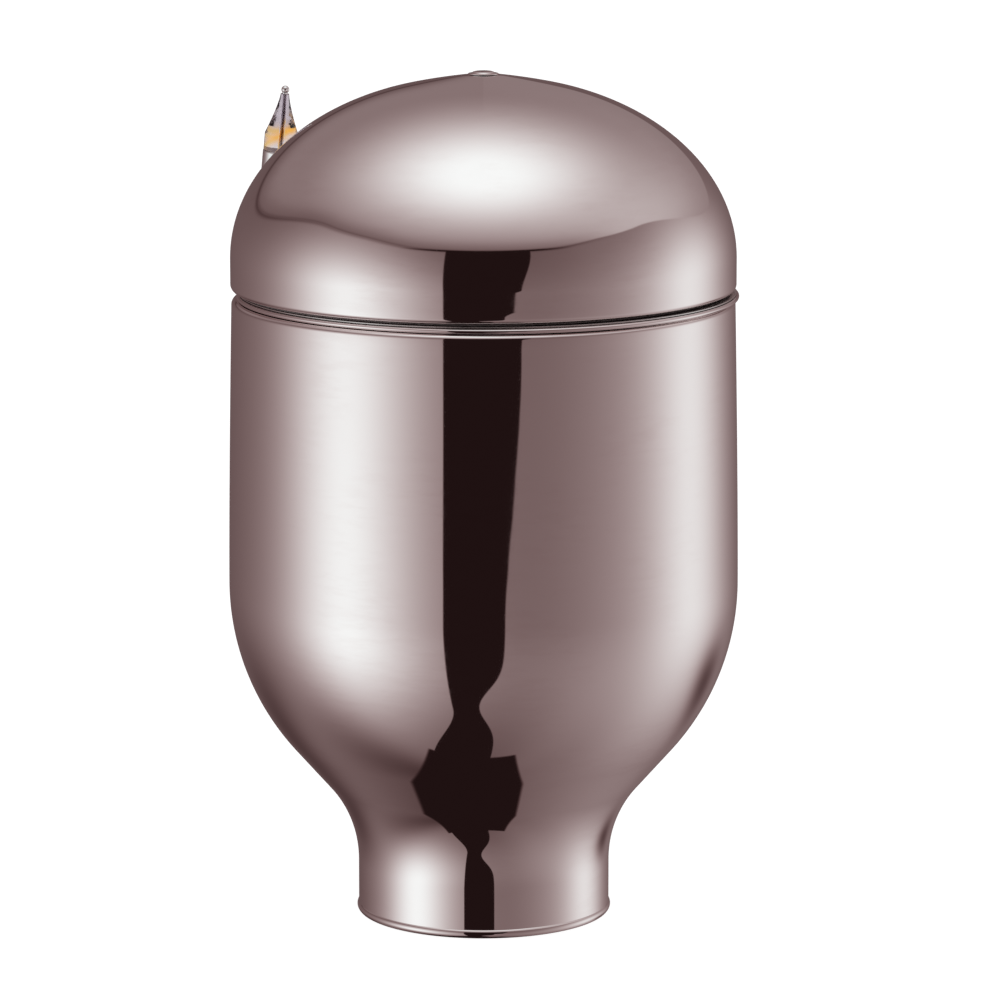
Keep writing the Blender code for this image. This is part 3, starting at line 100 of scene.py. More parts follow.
# ---- Node trees --------------------------------------------------------------------------------------
class Graph:
    """A node tree with short ways to add and join its nodes."""

    def __init__(self, tree: bpy.types.NodeTree) -> None:
        """Keeps the tree.

        Args:
            tree: The tree that the nodes go into.
        """
        self.tree = tree

    def feed(self, socket: Socket, value: object) -> None:
        """Joins a socket to another, or sets its value.

        Args:
            socket: The input to feed.
            value: An output socket, or a plain value.
        """
        if isinstance(value, bpy.types.NodeSocket):
            self.tree.links.new(value, socket)
        else:
            socket.default_value = value

    def add(self, kind: str, sockets: dict | None = None, **settings: object) -> bpy.types.Node:
        """Adds a node.

        Args:
            kind: Blender's name of the node.
            sockets: What feeds its inputs, by name or number.
            settings: Its other settings.

        Returns:
            The node.
        """
        node = self.tree.nodes.new(kind)
        for key, value in settings.items():
            setattr(node, key, value)
        for key, value in (sockets or {}).items():
            self.feed(node.inputs[key], value)
        return node

    def math(self, operation: str, *values: object, clamp: bool = False) -> Socket:
        """Adds a Math node.

        Args:
            operation: Blender's name of the sum.
            values: What it works on.
            clamp: Whether the result is held from 0 to 1.

        Returns:
            Its output.
        """
        sockets = dict(enumerate(values))
        return self.add("ShaderNodeMath", sockets, operation=operation, use_clamp=clamp).outputs[0]

    def ease(self, value: Socket, low: float, high: float) -> Socket:
        """A soft step from 0 at low to 1 at high.

        Args:
            value: What is stepped.
            low: Where the step starts.
            high: Where it ends.

        Returns:
            The step.
        """
        sockets = {"Value": value, "From Min": low, "From Max": high}
        return self.add("ShaderNodeMapRange", sockets, interpolation_type="SMOOTHSTEP").outputs[0]

    def bell(self, value: Socket, centre: float, width: float) -> Socket:
        """A bell curve, exp of minus half the square of the distance from the centre in widths.

        Args:
            value: What the bell is over.
            centre: Where it is 1.
            width: Its standard width.

        Returns:
            The bell.
        """
        away = self.math("DIVIDE", self.math("SUBTRACT", value, centre), width)
        return self.math("EXPONENT", self.math("MULTIPLY", self.math("MULTIPLY", away, away), -0.5))

    def blend(self, share: object, low: object, high: object) -> Socket:
        """Low where the share is 0 and high where it is 1.

        Args:
            share: How far to go from low to high.
            low: The value at 0.
            high: The value at 1.

        Returns:
            The blend.
        """
        return self.add("ShaderNodeMix", {0: share, 2: low, 3: high}, data_type="FLOAT").outputs[0]

    def blend_colour(self, share: object, low: object, high: object) -> Socket:
        """The same for colours.

        Args:
            share: How far to go from low to high.
            low: The colour at 0.
            high: The colour at 1.

        Returns:
            The blended colour.
        """
        return self.add("ShaderNodeMix", {0: share, 6: low, 7: high}, data_type="RGBA").outputs[2]

    def ramp(self, value: Socket, stops: list[tuple[float, Colour]]) -> Socket:
        """Colours along a value.

        Args:
            value: The value, from 0 to 1.
            stops: Places and their colours, from low to high.

        Returns:
            The colour.
        """
        node = self.add("ShaderNodeValToRGB", {0: value})
        elements = node.color_ramp.elements
        while len(elements) < len(stops):
            elements.new(0.5)
        for element, (place, colour) in zip(elements, stops):
            element.position = place
            element.color = (*colour, 1.0)
        return node.outputs[0]

    def noise(self, vector: Socket, scale: float, detail: float = 3.0, roughness: float = 0.5) -> Socket:
        """Soft noise, about 0.5 in the middle.

        Args:
            vector: The coordinates.
            scale: Cells to the metre.
            detail: How many finer layers it has.
            roughness: How strong the finer layers are.

        Returns:
            The noise.
        """
        sockets = {"Vector": vector, "Scale": scale, "Detail": detail, "Roughness": roughness}
        return self.add("ShaderNodeTexNoise", sockets).outputs[0]


def new_group(name: str, inputs: dict[str, float], outputs: dict[str, str]) -> tuple[Graph, dict, bpy.types.Node]:
    """A node group with a Vector input, number inputs and named outputs.

    Args:
        name: The group's name.
        inputs: The number inputs and their defaults.
        outputs: The outputs and their socket types.

    Returns:
        Its graph, its inputs by name, and its output node.
    """
    tree = bpy.data.node_groups.new(name, "ShaderNodeTree")
    tree.interface.new_socket("Vector", in_out="INPUT", socket_type="NodeSocketVector")
    for label, value in inputs.items():
        tree.interface.new_socket(label, in_out="INPUT", socket_type="NodeSocketFloat").default_value = value
    for label, kind in outputs.items():
        tree.interface.new_socket(label, in_out="OUTPUT", socket_type=kind)
    graph = Graph(tree)
    entry = graph.add("NodeGroupInput")
    return graph, {socket.name: socket for socket in entry.outputs}, graph.add("NodeGroupOutput")


def handling_group() -> bpy.types.NodeTree:
    """Faint smears and wiped patches on a handled surface.

    Returns:
        A group that puts out a mask of the smears and a finer mask of dust.
    """
    outputs = {"Smears": "NodeSocketFloat", "Dust": "NodeSocketFloat"}
    graph, given, out = new_group("handling_marks", {"Scale": 14.0, "Dust Scale": 900.0}, outputs)
    broad = graph.noise(given["Vector"], given["Scale"], 4.0, 0.6)
    stretched = graph.add("ShaderNodeMapping", {"Vector": given["Vector"], "Scale": (1.0, 1.0, 5.0)}).outputs[0]
    wiped = graph.noise(stretched, graph.math("MULTIPLY", given["Scale"], 3.0), 3.0, 0.55)
    both = graph.math("MULTIPLY", graph.ease(broad, 0.42, 0.68), graph.ease(wiped, 0.40, 0.66))
    graph.feed(out.inputs["Smears"], both)
    specks = graph.noise(given["Vector"], given["Dust Scale"], 1.0, 0.5)
    graph.feed(out.inputs["Dust"], graph.ease(specks, 0.66, 0.78))
    return graph.tree


def spun_group() -> bpy.types.NodeTree:
    """Marks of spinning and polishing: slow waves down the wall and fine rings round it.

    Returns:
        A group that puts out the height of the waves and of the rings.
    """
    outputs = {"Waves": "NodeSocketFloat", "Rings": "NodeSocketFloat"}
    graph, given, out = new_group("spun_marks", {"Wave Scale": 16.0, "Ring Scale": 5200.0}, outputs)
    slow = graph.add("ShaderNodeMapping", {"Vector": given["Vector"], "Scale": (0.55, 0.55, 1.0)}).outputs[0]
    graph.feed(out.inputs["Waves"], graph.noise(slow, given["Wave Scale"], 1.5, 0.45))
    fine = graph.add("ShaderNodeMapping", {"Vector": given["Vector"], "Scale": (0.004, 0.004, 1.0)}).outputs[0]
    graph.feed(out.inputs["Rings"], graph.noise(fine, given["Ring Scale"], 2.0, 0.6))
    return graph.tree


def grain_group() -> bpy.types.NodeTree:
    """The fine pebbled grain of a moulded or cast surface, with slow changes of tone.

    Returns:
        A group that puts out the grain's height and the tone.
    """
    outputs = {"Height": "NodeSocketFloat", "Tone": "NodeSocketFloat"}
    graph, given, out = new_group("surface_grain", {"Scale": 2500.0, "Tone Scale": 60.0}, outputs)
    cells = graph.add("ShaderNodeTexVoronoi", {"Vector": given["Vector"], "Scale": given["Scale"]}).outputs[0]
    rough = graph.noise(given["Vector"], given["Scale"], 2.0, 0.6)
    graph.feed(out.inputs["Height"], graph.blend(0.5, cells, rough))
    graph.feed(out.inputs["Tone"], graph.noise(given["Vector"], given["Tone Scale"], 3.0, 0.55))
    return graph.tree


@dataclass
class Effects:
    """The node groups that more than one finish uses, each made once."""

    handling: bpy.types.NodeTree = field(default_factory=handling_group)
    spun: bpy.types.NodeTree = field(default_factory=spun_group)
    grain: bpy.types.NodeTree = field(default_factory=grain_group)

    def place(self, graph: Graph, tree: bpy.types.NodeTree, vector: Socket, **values: float) -> dict[str, Socket]:
        """Puts a group into a material.

        Args:
            graph: The material's graph.
            tree: The group.
            vector: The coordinates it works on.
            values: Its number inputs, with _ for a space.

        Returns:
            Its outputs by name.
        """
        sockets = {name.replace("_", " "): value for name, value in values.items()}
        node = graph.add("ShaderNodeGroup", None, node_tree=tree)
        for key, value in {"Vector": vector, **sockets}.items():
            graph.feed(node.inputs[key], value)
        return {socket.name: socket for socket in node.outputs}


def start_material(name: str) -> tuple[bpy.types.Material, Graph, bpy.types.Node, Socket]:
    """An empty Principled material.

    Args:
        name: The material's name.

    Returns:
        The material, its graph, its shader and its Object coordinates.
    """
    made = bpy.data.materials.new(name)
    made.use_nodes = True
    graph = Graph(made.node_tree)
    shader = made.node_tree.nodes["Principled BSDF"]
    return made, graph, shader, graph.add("ShaderNodeTexCoord").outputs["Object"]


# ---- Finishes ------------------------------------------------------------------------------------------
@dataclass(frozen=True)
class PolishedMetal:
    """Buffed sheet or plated metal that mirrors what stands round it."""

    tint: Colour
    shade: Colour  # where the polish is a little tired
    roughness: float = 0.028
    smear_roughness: float = 0.05
    wave_depth: float = 0.00007
    ring_depth: float = 0.0000006

    def build(self, name: str, effects: Effects) -> bpy.types.Material:
        """Makes the material.

        Args:
            name: The material's name.
            effects: The shared node groups.

        Returns:
            The material.
        """
        made, graph, shader, place = start_material(name)
        marks = effects.place(graph, effects.handling, place)
        spun = effects.place(graph, effects.spun, place)
        colour = graph.blend_colour(marks["Smears"], (*self.tint, 1.0), (*self.shade, 1.0))
        graph.feed(shader.inputs["Base Color"], colour)
        dull = graph.blend(marks["Smears"], self.roughness, self.smear_roughness)
        graph.feed(shader.inputs["Roughness"], graph.blend(marks["Dust"], dull, self.smear_roughness * 1.5))
        shader.inputs["Metallic"].default_value = 1.0
        waves = graph.add("ShaderNodeBump", {"Height": spun["Waves"], "Distance": self.wave_depth})
        sockets = {"Height": spun["Rings"], "Distance": self.ring_depth, "Normal": waves.outputs[0]}
        graph.feed(shader.inputs["Normal"], graph.add("ShaderNodeBump", sockets).outputs[0])
        return made


@dataclass(frozen=True)
class BrushedMetal:
    """Metal with a fine lengthwise brush or a cast skin, dulled unevenly."""

    tint: Colour
    shade: Colour
    roughness: float = 0.26
    stretch: Colour = (1.0, 1.0, 26.0)  # how much finer the brush is along each axis
    brush_scale: float = 90.0
    depth: float = 0.00002
    metallic: float = 1.0

    def build(self, name: str, effects: Effects) -> bpy.types.Material:
        """Makes the material.

        Args:
            name: The material's name.
            effects: The shared node groups.

        Returns:
            The material.
        """
        made, graph, shader, place = start_material(name)
        marks = effects.place(graph, effects.handling, place, Scale=40.0)
        grain = effects.place(graph, effects.grain, place, Tone_Scale=120.0)
        stretched = graph.add("ShaderNodeMapping", {"Vector": place, "Scale": self.stretch}).outputs[0]
        brush = graph.noise(stretched, self.brush_scale, 5.0, 0.65)
        tired = graph.math("MAXIMUM", marks["Smears"], graph.ease(grain["Tone"], 0.35, 0.75))
        colour = graph.blend_colour(tired, (*self.tint, 1.0), (*self.shade, 1.0))
        graph.feed(shader.inputs["Base Color"], colour)
        rough = graph.blend(brush, self.roughness * 0.75, self.roughness * 1.3)
        graph.feed(shader.inputs["Roughness"], rough)
        shader.inputs["Metallic"].default_value = self.metallic
        sockets = {"Height": graph.blend(0.3, brush, grain["Height"]), "Distance": self.depth}
        graph.feed(shader.inputs["Normal"], graph.add("ShaderNodeBump", sockets).outputs[0])
        return made


@dataclass(frozen=True)
class Moulding:
    """Moulded plastic or rubber with a fine grain and handled patches."""

    tint: Colour
    shade: Colour
    roughness: float = 0.42
    grain_scale: float = 2500.0
    depth: float = 0.00003
    glow: float = 0.0

    def build(self, name: str, effects: Effects) -> bpy.types.Material:
        """Makes the material.

        Args:
            name: The material's name.
            effects: The shared node groups.

        Returns:
            The material.
        """
        made, graph, shader, place = start_material(name)
        marks = effects.place(graph, effects.handling, place, Scale=55.0)
        grain = effects.place(graph, effects.grain, place, Scale=self.grain_scale)
        worn = graph.ease(graph.math("ADD", marks["Smears"], grain["Tone"]), 0.40, 1.10)
        colour = graph.blend_colour(worn, (*self.tint, 1.0), (*self.shade, 1.0))
        graph.feed(shader.inputs["Base Color"], colour)
        rough = graph.blend(worn, self.roughness, self.roughness * 0.72)
        graph.feed(shader.inputs["Roughness"], rough)
        sockets = {"Height": grain["Height"], "Distance": self.depth, "Strength": 0.6}
        graph.feed(shader.inputs["Normal"], graph.add("ShaderNodeBump", sockets).outputs[0])
        if self.glow:
            graph.feed(shader.inputs["Emission Color"], colour)
            shader.inputs["Emission Strength"].default_value = self.glow
        return made


@dataclass(frozen=True)
class HornGlass:
    """Clear smoky glass with drawn-out cords and a slanting amber band, bluer and paler towards its foot."""

    tint: Colour = (0.47, 0.42, 0.47)
    foot_tint: Colour = (0.58, 0.57, 0.62)
    foot_height: float = 0.4560
    amber: Colour = (0.78, 0.40, 0.07)
    band_height: float = 0.4560
    band_half: float = 0.0026
    band_slope: float = 0.60
    axis: float = 0.1792  # how far back the horn stands
    roughness: float = 0.015

    def build(self, name: str, effects: Effects) -> bpy.types.Material:
        """Makes the material.

        Args:
            name: The material's name.
            effects: The shared node groups.

        Returns:
            The material.
        """
        made, graph, shader, place = start_material(name)
        across, back, height = graph.add("ShaderNodeSeparateXYZ", {0: place}).outputs
        drawn = graph.add("ShaderNodeMapping", {"Vector": place, "Scale": (9.0, 9.0, 1.0)}).outputs[0]
        cords = graph.noise(drawn, 40.0, 2.0, 0.5)
        shifted = graph.math("ADD", height, graph.math("MULTIPLY", cords, 0.004))
        up = graph.ease(shifted, self.foot_height, self.foot_height + 0.008)
        colour = graph.blend_colour(up, (*self.foot_tint, 1.0), (*self.tint, 1.0))
        sideways = graph.math("SUBTRACT", across, graph.math("SUBTRACT", back, self.axis))
        level = graph.math("MULTIPLY_ADD", sideways, self.band_slope * math.sqrt(0.5), self.band_height)
        over = graph.math("SUBTRACT", shifted, level)
        colour = graph.blend_colour(graph.bell(over, 0.0, self.band_half), colour, (*self.amber, 1.0))
        graph.feed(shader.inputs["Base Color"], colour)
        marks = effects.place(graph, effects.handling, place, Scale=70.0)
        rough = graph.blend(marks["Smears"], self.roughness, self.roughness * 4)
        graph.feed(shader.inputs["Roughness"], rough)
        shader.inputs["Transmission Weight"].default_value = 1.0
        shader.inputs["IOR"].default_value = 1.5
        sockets = {"Height": cords, "Distance": 0.0004, "Strength": 0.5}
        graph.feed(shader.inputs["Normal"], graph.add("ShaderNodeBump", sockets).outputs[0])
        return made


FINISHES: dict[Slot, PolishedMetal | BrushedMetal | Moulding | HornGlass] = {
    Slot.MIRROR: PolishedMetal((0.930, 0.868, 0.862), (0.905, 0.835, 0.828)),
    Slot.CHROME: PolishedMetal((0.90, 0.89, 0.89), (0.86, 0.85, 0.85), 0.02, 0.05, 0.0, 0.0),
    Slot.SATIN: BrushedMetal((0.66, 0.64, 0.63), (0.56, 0.54, 0.53)),
    Slot.SCREW: BrushedMetal((0.60, 0.59, 0.58), (0.46, 0.45, 0.44), 0.3, (8.0, 8.0, 8.0), 300.0),
    Slot.ALUMINIUM: BrushedMetal((0.70, 0.70, 0.71), (0.55, 0.55, 0.56), 0.45, (1.0, 1.0, 1.0), 700.0, 0.00008),
    Slot.SHEATH: BrushedMetal((0.26, 0.24, 0.23), (0.16, 0.14, 0.13), 0.5, (1.0, 1.0, 1.0), 500.0),
    Slot.BRONZE: BrushedMetal((0.66, 0.45, 0.24), (0.46, 0.30, 0.16), 0.36, (6.0, 6.0, 6.0), 260.0),
    Slot.RUBBER: Moulding((0.105, 0.084, 0.084), (0.135, 0.110, 0.110), 0.72, 1600.0, 0.00006),
    Slot.BLACK: Moulding((0.022, 0.022, 0.023), (0.036, 0.036, 0.037), 0.42),
    Slot.PALE: Moulding((0.74, 0.71, 0.64), (0.66, 0.62, 0.54), 0.5),
    Slot.RED: Moulding((0.58, 0.035, 0.022), (0.44, 0.024, 0.016), 0.34, 3000.0, 0.00001),
    Slot.AMBER: Moulding((0.86, 0.36, 0.04), (0.74, 0.26, 0.02), 0.14, 3000.0, 0.000005, 0.25),
    Slot.GLASS: HornGlass(),
    Slot.BROWN_LEAD: Moulding((0.20, 0.085, 0.04), (0.15, 0.06, 0.03), 0.5),
    Slot.BLUE_LEAD: Moulding((0.05, 0.16, 0.45), (0.04, 0.12, 0.34), 0.5),
    Slot.GREEN_LEAD: Moulding((0.10, 0.35, 0.10), (0.07, 0.26, 0.07), 0.5),
}


# ---- Shapes ----------------------------------------------------------------------------------------------
def arc(centre: tuple[float, float], radius: float, start: float, end: float, steps: int) -> Array:
    """Points on an arc: the centre plus the radius times the cosine and sine of angles evenly spaced.

    Args:
        centre: Its centre, as distance from the axis and height.
        radius: Its radius.
        start: Its first angle.
        end: Its last angle.
        steps: How many steps it takes.

    Returns:
        The points, one a row.
    """
    turns = np.linspace(start, end, steps + 1)
    return np.stack([centre[0] + radius * np.cos(turns), centre[1] + radius * np.sin(turns)], axis=1)


def line(start: tuple[float, float], end: tuple[float, float], steps: int) -> Array:
    """Points evenly spaced on a straight line, both ends included.

    Args:
        start: Its first point.
        end: Its last point.
        steps: How many steps it takes.

    Returns:
        The points, one a row.
    """
    return np.linspace(start, end, steps + 1)


def chain(*parts: Array) -> Array:
    """Parts of an outline one after another, without points that repeat the one before.

    Args:
        parts: The parts.

    Returns:
        The whole outline.
    """
    points = np.concatenate(parts)
    apart = np.linalg.norm(np.diff(points, axis=0), axis=1) > POLE_MERGE
    return points[np.concatenate([[True], apart])]


def eased(corners: list[tuple[float, float, float]], closed: bool = False, steps: int = 6) -> Array:
    """An outline whose corners are drawn in along curves of the second degree.

    Each curve starts and ends at its own distance from the corner along the two sides, and is
    (1-t)(1-t) start + 2t(1-t) corner + t t end.

    Args:
        corners: Distance from the axis, height and easing distance of each corner.
        closed: Whether the last corner joins the first.
        steps: How many steps each curve takes.

    Returns:
        The points, one a row.
    """
    data = np.array(corners, float)
    points, reach = data[:, :2], data[:, 2:]
    before, after = np.roll(points, 1, axis=0) - points, np.roll(points, -1, axis=0) - points
    long_before, long_after = np.linalg.norm(before, axis=1), np.linalg.norm(after, axis=1)
    size = np.minimum(reach[:, 0], 0.49 * np.minimum(long_before, long_after))[:, None]
    if not closed:
        size[[0, -1]] = 0
    start = points + before / long_before[:, None] * size
    end = points + after / long_after[:, None] * size
    t = np.linspace(0, 1, steps + 1)[None, :, None]
    curves = (1 - t) ** 2 * start[:, None] + 2 * t * (1 - t) * points[:, None] + t**2 * end[:, None]
    return chain(curves.reshape(-1, 2))


def outward(outline: Array) -> Array:
    """Unit normals on the right-hand side of an outline, from the sum of its neighbouring sides' directions.

    Args:
        outline: Points of distance from the axis and height.

    Returns:
        One normal a point, lengthened at corners so that an offset keeps its thickness.
    """
    sides = np.diff(outline, axis=0)
    sides /= np.linalg.norm(sides, axis=1, keepdims=True)
    before, after = np.concatenate([sides[:1], sides]), np.concatenate([sides, sides[-1:]])
    along = before + after
    along /= np.linalg.norm(along, axis=1, keepdims=True)
    mitre = np.maximum((along * after).sum(axis=1), 0.6)
    return np.stack([along[:, 1], -along[:, 0]], axis=1) / mitre[:, None]


def turned(outline: Array, angles: Array) -> Array:
    """An outline carried round the Z axis: (r cos a, r sin a, z).

    Args:
        outline: Points of distance from the axis and height.
        angles: The angles it is placed at.

    Returns:
        A grid of points, a row for each point of the outline and a column for each angle.
    """
    radius, height = outline[:, :1], outline[:, 1:]
    level = np.broadcast_to(height, (len(outline), len(angles)))
    return np.stack([radius * np.cos(angles), radius * np.sin(angles), level], axis=2)


def even_angles(count: int) -> Array:
    """Angles evenly round a full turn."""
    return np.arange(count) * FULL_TURN / count


def grid_faces(rows: int, columns: int, wrap_rows: bool = False) -> Array:
    """Four-sided faces of a grid whose columns close on themselves.

    Args:
        rows: Its rows.
        columns: Its columns.
        wrap_rows: Whether its last row joins its first.

    Returns:
        The corners of each face, in an array of steps by columns by four.
    """
    r, c = np.meshgrid(np.arange(rows if wrap_rows else rows - 1), np.arange(columns), indexing="ij")
    up, on = (r + 1) % rows, (c + 1) % columns
    return np.stack([r * columns + c, r * columns + on, up * columns + on, up * columns + c], axis=2)


def walled_faces(rows: int, columns: int, keep: Array) -> Array:
    """Faces of a sheet with a wall: an outer and an inner grid, and rims where either ends or has an opening.

    The inner grid's points come after the outer grid's. A rim joins each kept face's side to the same side
    inside wherever the face next to it isn't kept.

    Args:
        rows: Rows of each grid.
        columns: Columns of each grid, which close on themselves.
        keep: Which faces are kept, as steps by columns.

    Returns:
        The corners of each face, one face a row.
    """
    faces = grid_faces(rows, columns)
    inside = rows * columns
    edge = np.zeros((1, columns), bool)
    below, above = np.concatenate([edge, keep[:-1]]), np.concatenate([keep[1:], edge])
    left, right = np.roll(keep, 1, axis=1), np.roll(keep, -1, axis=1)
    parts = [faces[keep], faces[keep][:, ::-1] + inside]
    for beyond, first, second in ((below, 1, 0), (right, 2, 1), (above, 3, 2), (left, 0, 3)):
        a, b = faces[keep & ~beyond][:, first], faces[keep & ~beyond][:, second]
        parts.append(np.stack([a, b, b + inside, a + inside], axis=1))
    return np.concatenate(parts)


def signed_volume(points: Array, faces: Array) -> float:
    """Six times the volume that four-sided faces hold, which is below zero if they point inwards."""
    a, b, c, d = (points[faces[:, i]] for i in range(4))
    return float((a * np.cross(b, c)).sum() + (a * np.cross(c, d)).sum())


class Workshop:
    """Makes pieces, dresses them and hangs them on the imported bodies."""

    def __init__(self) -> None:
        """Builds the effects and the finishes."""
        self.effects = Effects()
        self.materials = {slot: made.build(f"{slot.value}_finish", self.effects) for slot, made in FINISHES.items()}

    def hang(self, piece: bpy.types.Object, slot: Slot, body: Body, stands_for: tuple[str, ...]) -> None:
        """Dresses a piece and lets it ride on its body.

        Args:
            piece: The piece.
            slot: Its finish.
            body: What it rides on.
            stands_for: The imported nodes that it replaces.
        """
        piece.data.materials.clear()
        piece.data.materials.append(self.materials[slot])
        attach(piece, body.value)
        if stands_for:
            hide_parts(*stands_for)
        LOG.info("%s: %d faces, on %s", piece.name, len(piece.data.polygons), body.value)

    def surface(
        self, name: str, points: Array, faces: Array, slot: Slot, body: Body, stands_for: tuple[str, ...] = ()
    ) -> bpy.types.Object:
        """Puts worked-out points and faces into a piece, with its poles closed and its faces outwards.

        Args:
            name: The piece's name.
            points: Its points, in an array of any shape that ends in three.
            faces: Its four-sided faces.
            slot: Its finish.
            body: What it rides on.
            stands_for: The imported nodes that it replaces.

        Returns:
            The piece.
        """
        points, faces = points.reshape(-1, 3), faces.reshape(-1, 4)
        if signed_volume(points, faces) < 0:
            faces = faces[:, ::-1]
        mesh = bpy.data.meshes.new(name)
        mesh.vertices.add(len(points))
        mesh.vertices.foreach_set("co", points.astype(np.float32).ravel())
        mesh.loops.add(faces.size)
        mesh.loops.foreach_set("vertex_index", faces.astype(np.int32).ravel())
        mesh.polygons.add(len(faces))
        mesh.polygons.foreach_set("loop_start", np.arange(0, faces.size, 4, dtype=np.int32))
        mesh.update(calc_edges=True)
        welded = bmesh.new()
        welded.from_mesh(mesh)
        bmesh.ops.remove_doubles(welded, verts=welded.verts, dist=POLE_MERGE)
        welded.to_mesh(mesh)
        welded.free()
        mesh.shade_smooth()
        mesh.set_sharp_from_angle(angle=SOFT_ANGLE)
        piece = bpy.data.objects.new(name, mesh)
        bpy.context.scene.collection.objects.link(piece)
        self.hang(piece, slot, body, stands_for)
        return piece

    def lathe(
        self,
        name: str,
        outline: Array,
        slot: Slot,
        body: Body,
        stands_for: tuple[str, ...] = (),
        *,
        closed: bool = False,
        columns: int = 160,
        place: Array | None = None,
        turn: Matrix | None = None,
    ) -> bpy.types.Object:
        """A solid turned from an outline, then put in its place.

        Args:
            name: The piece's name.
            outline: Points of distance from the axis and height, ending on the axis unless closed.
            slot: Its finish.
            body: What it rides on.
            stands_for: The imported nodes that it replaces.
            closed: Whether the outline closes on itself, as a ring's does.
            columns: Steps round the axis.
            place: Where its own zero goes.
            turn: How its axis is turned.

        Returns:
            The piece.
        """
        points = turned(outline, even_angles(columns))
        if turn is not None:
            points = points @ np.array(turn.to_3x3()).T
        if place is not None:
            points = points + place
        faces = grid_faces(len(outline), columns, closed)
        return self.surface(name, points, faces, slot, body, stands_for)

    def soften(self, node: str, slot: Slot, body: Body, width: float) -> bpy.types.Object:
        """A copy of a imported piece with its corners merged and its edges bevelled, in the piece's stead.

        Args:
            node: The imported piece.
            slot: Its finish.
            body: What it rides on.
            width: Width of its eased edges.

        Returns:
            The copy.
        """
        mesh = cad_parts[node].data.copy()
        merged = bmesh.new()
        merged.from_mesh(mesh)
        bmesh.ops.remove_doubles(merged, verts=merged.verts, dist=CAD_MERGE)
        bmesh.ops.dissolve_limit(merged, angle_limit=FLAT_ANGLE, verts=merged.verts, edges=merged.edges)
        bmesh.ops.recalc_face_normals(merged, faces=merged.faces)
        merged.to_mesh(mesh)
        merged.free()
        mesh.shade_smooth()
        mesh.set_sharp_from_angle(angle=SOFT_ANGLE)
        piece = bpy.data.objects.new(f"{node}_eased", mesh)
        bpy.context.scene.collection.objects.link(piece)
        bevel = piece.modifiers.new("eased_edges", "BEVEL")
        bevel.width = width
        bevel.segments = 2
        bevel.limit_method = "ANGLE"
        bevel.angle_limit = SOFT_ANGLE
        bevel.harden_normals = True
        self.hang(piece, slot, body, (node,))
        return piece

    def dress(self, slot: Slot, *nodes: str) -> None:
        """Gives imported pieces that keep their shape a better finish.

        Args:
            slot: Their finish.
            nodes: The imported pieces.
        """
        for node in nodes:
            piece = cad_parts[node]
            piece.data.materials.clear()
            piece.data.materials.append(self.materials[slot])
            LOG.info("%s keeps its packed shape", node)


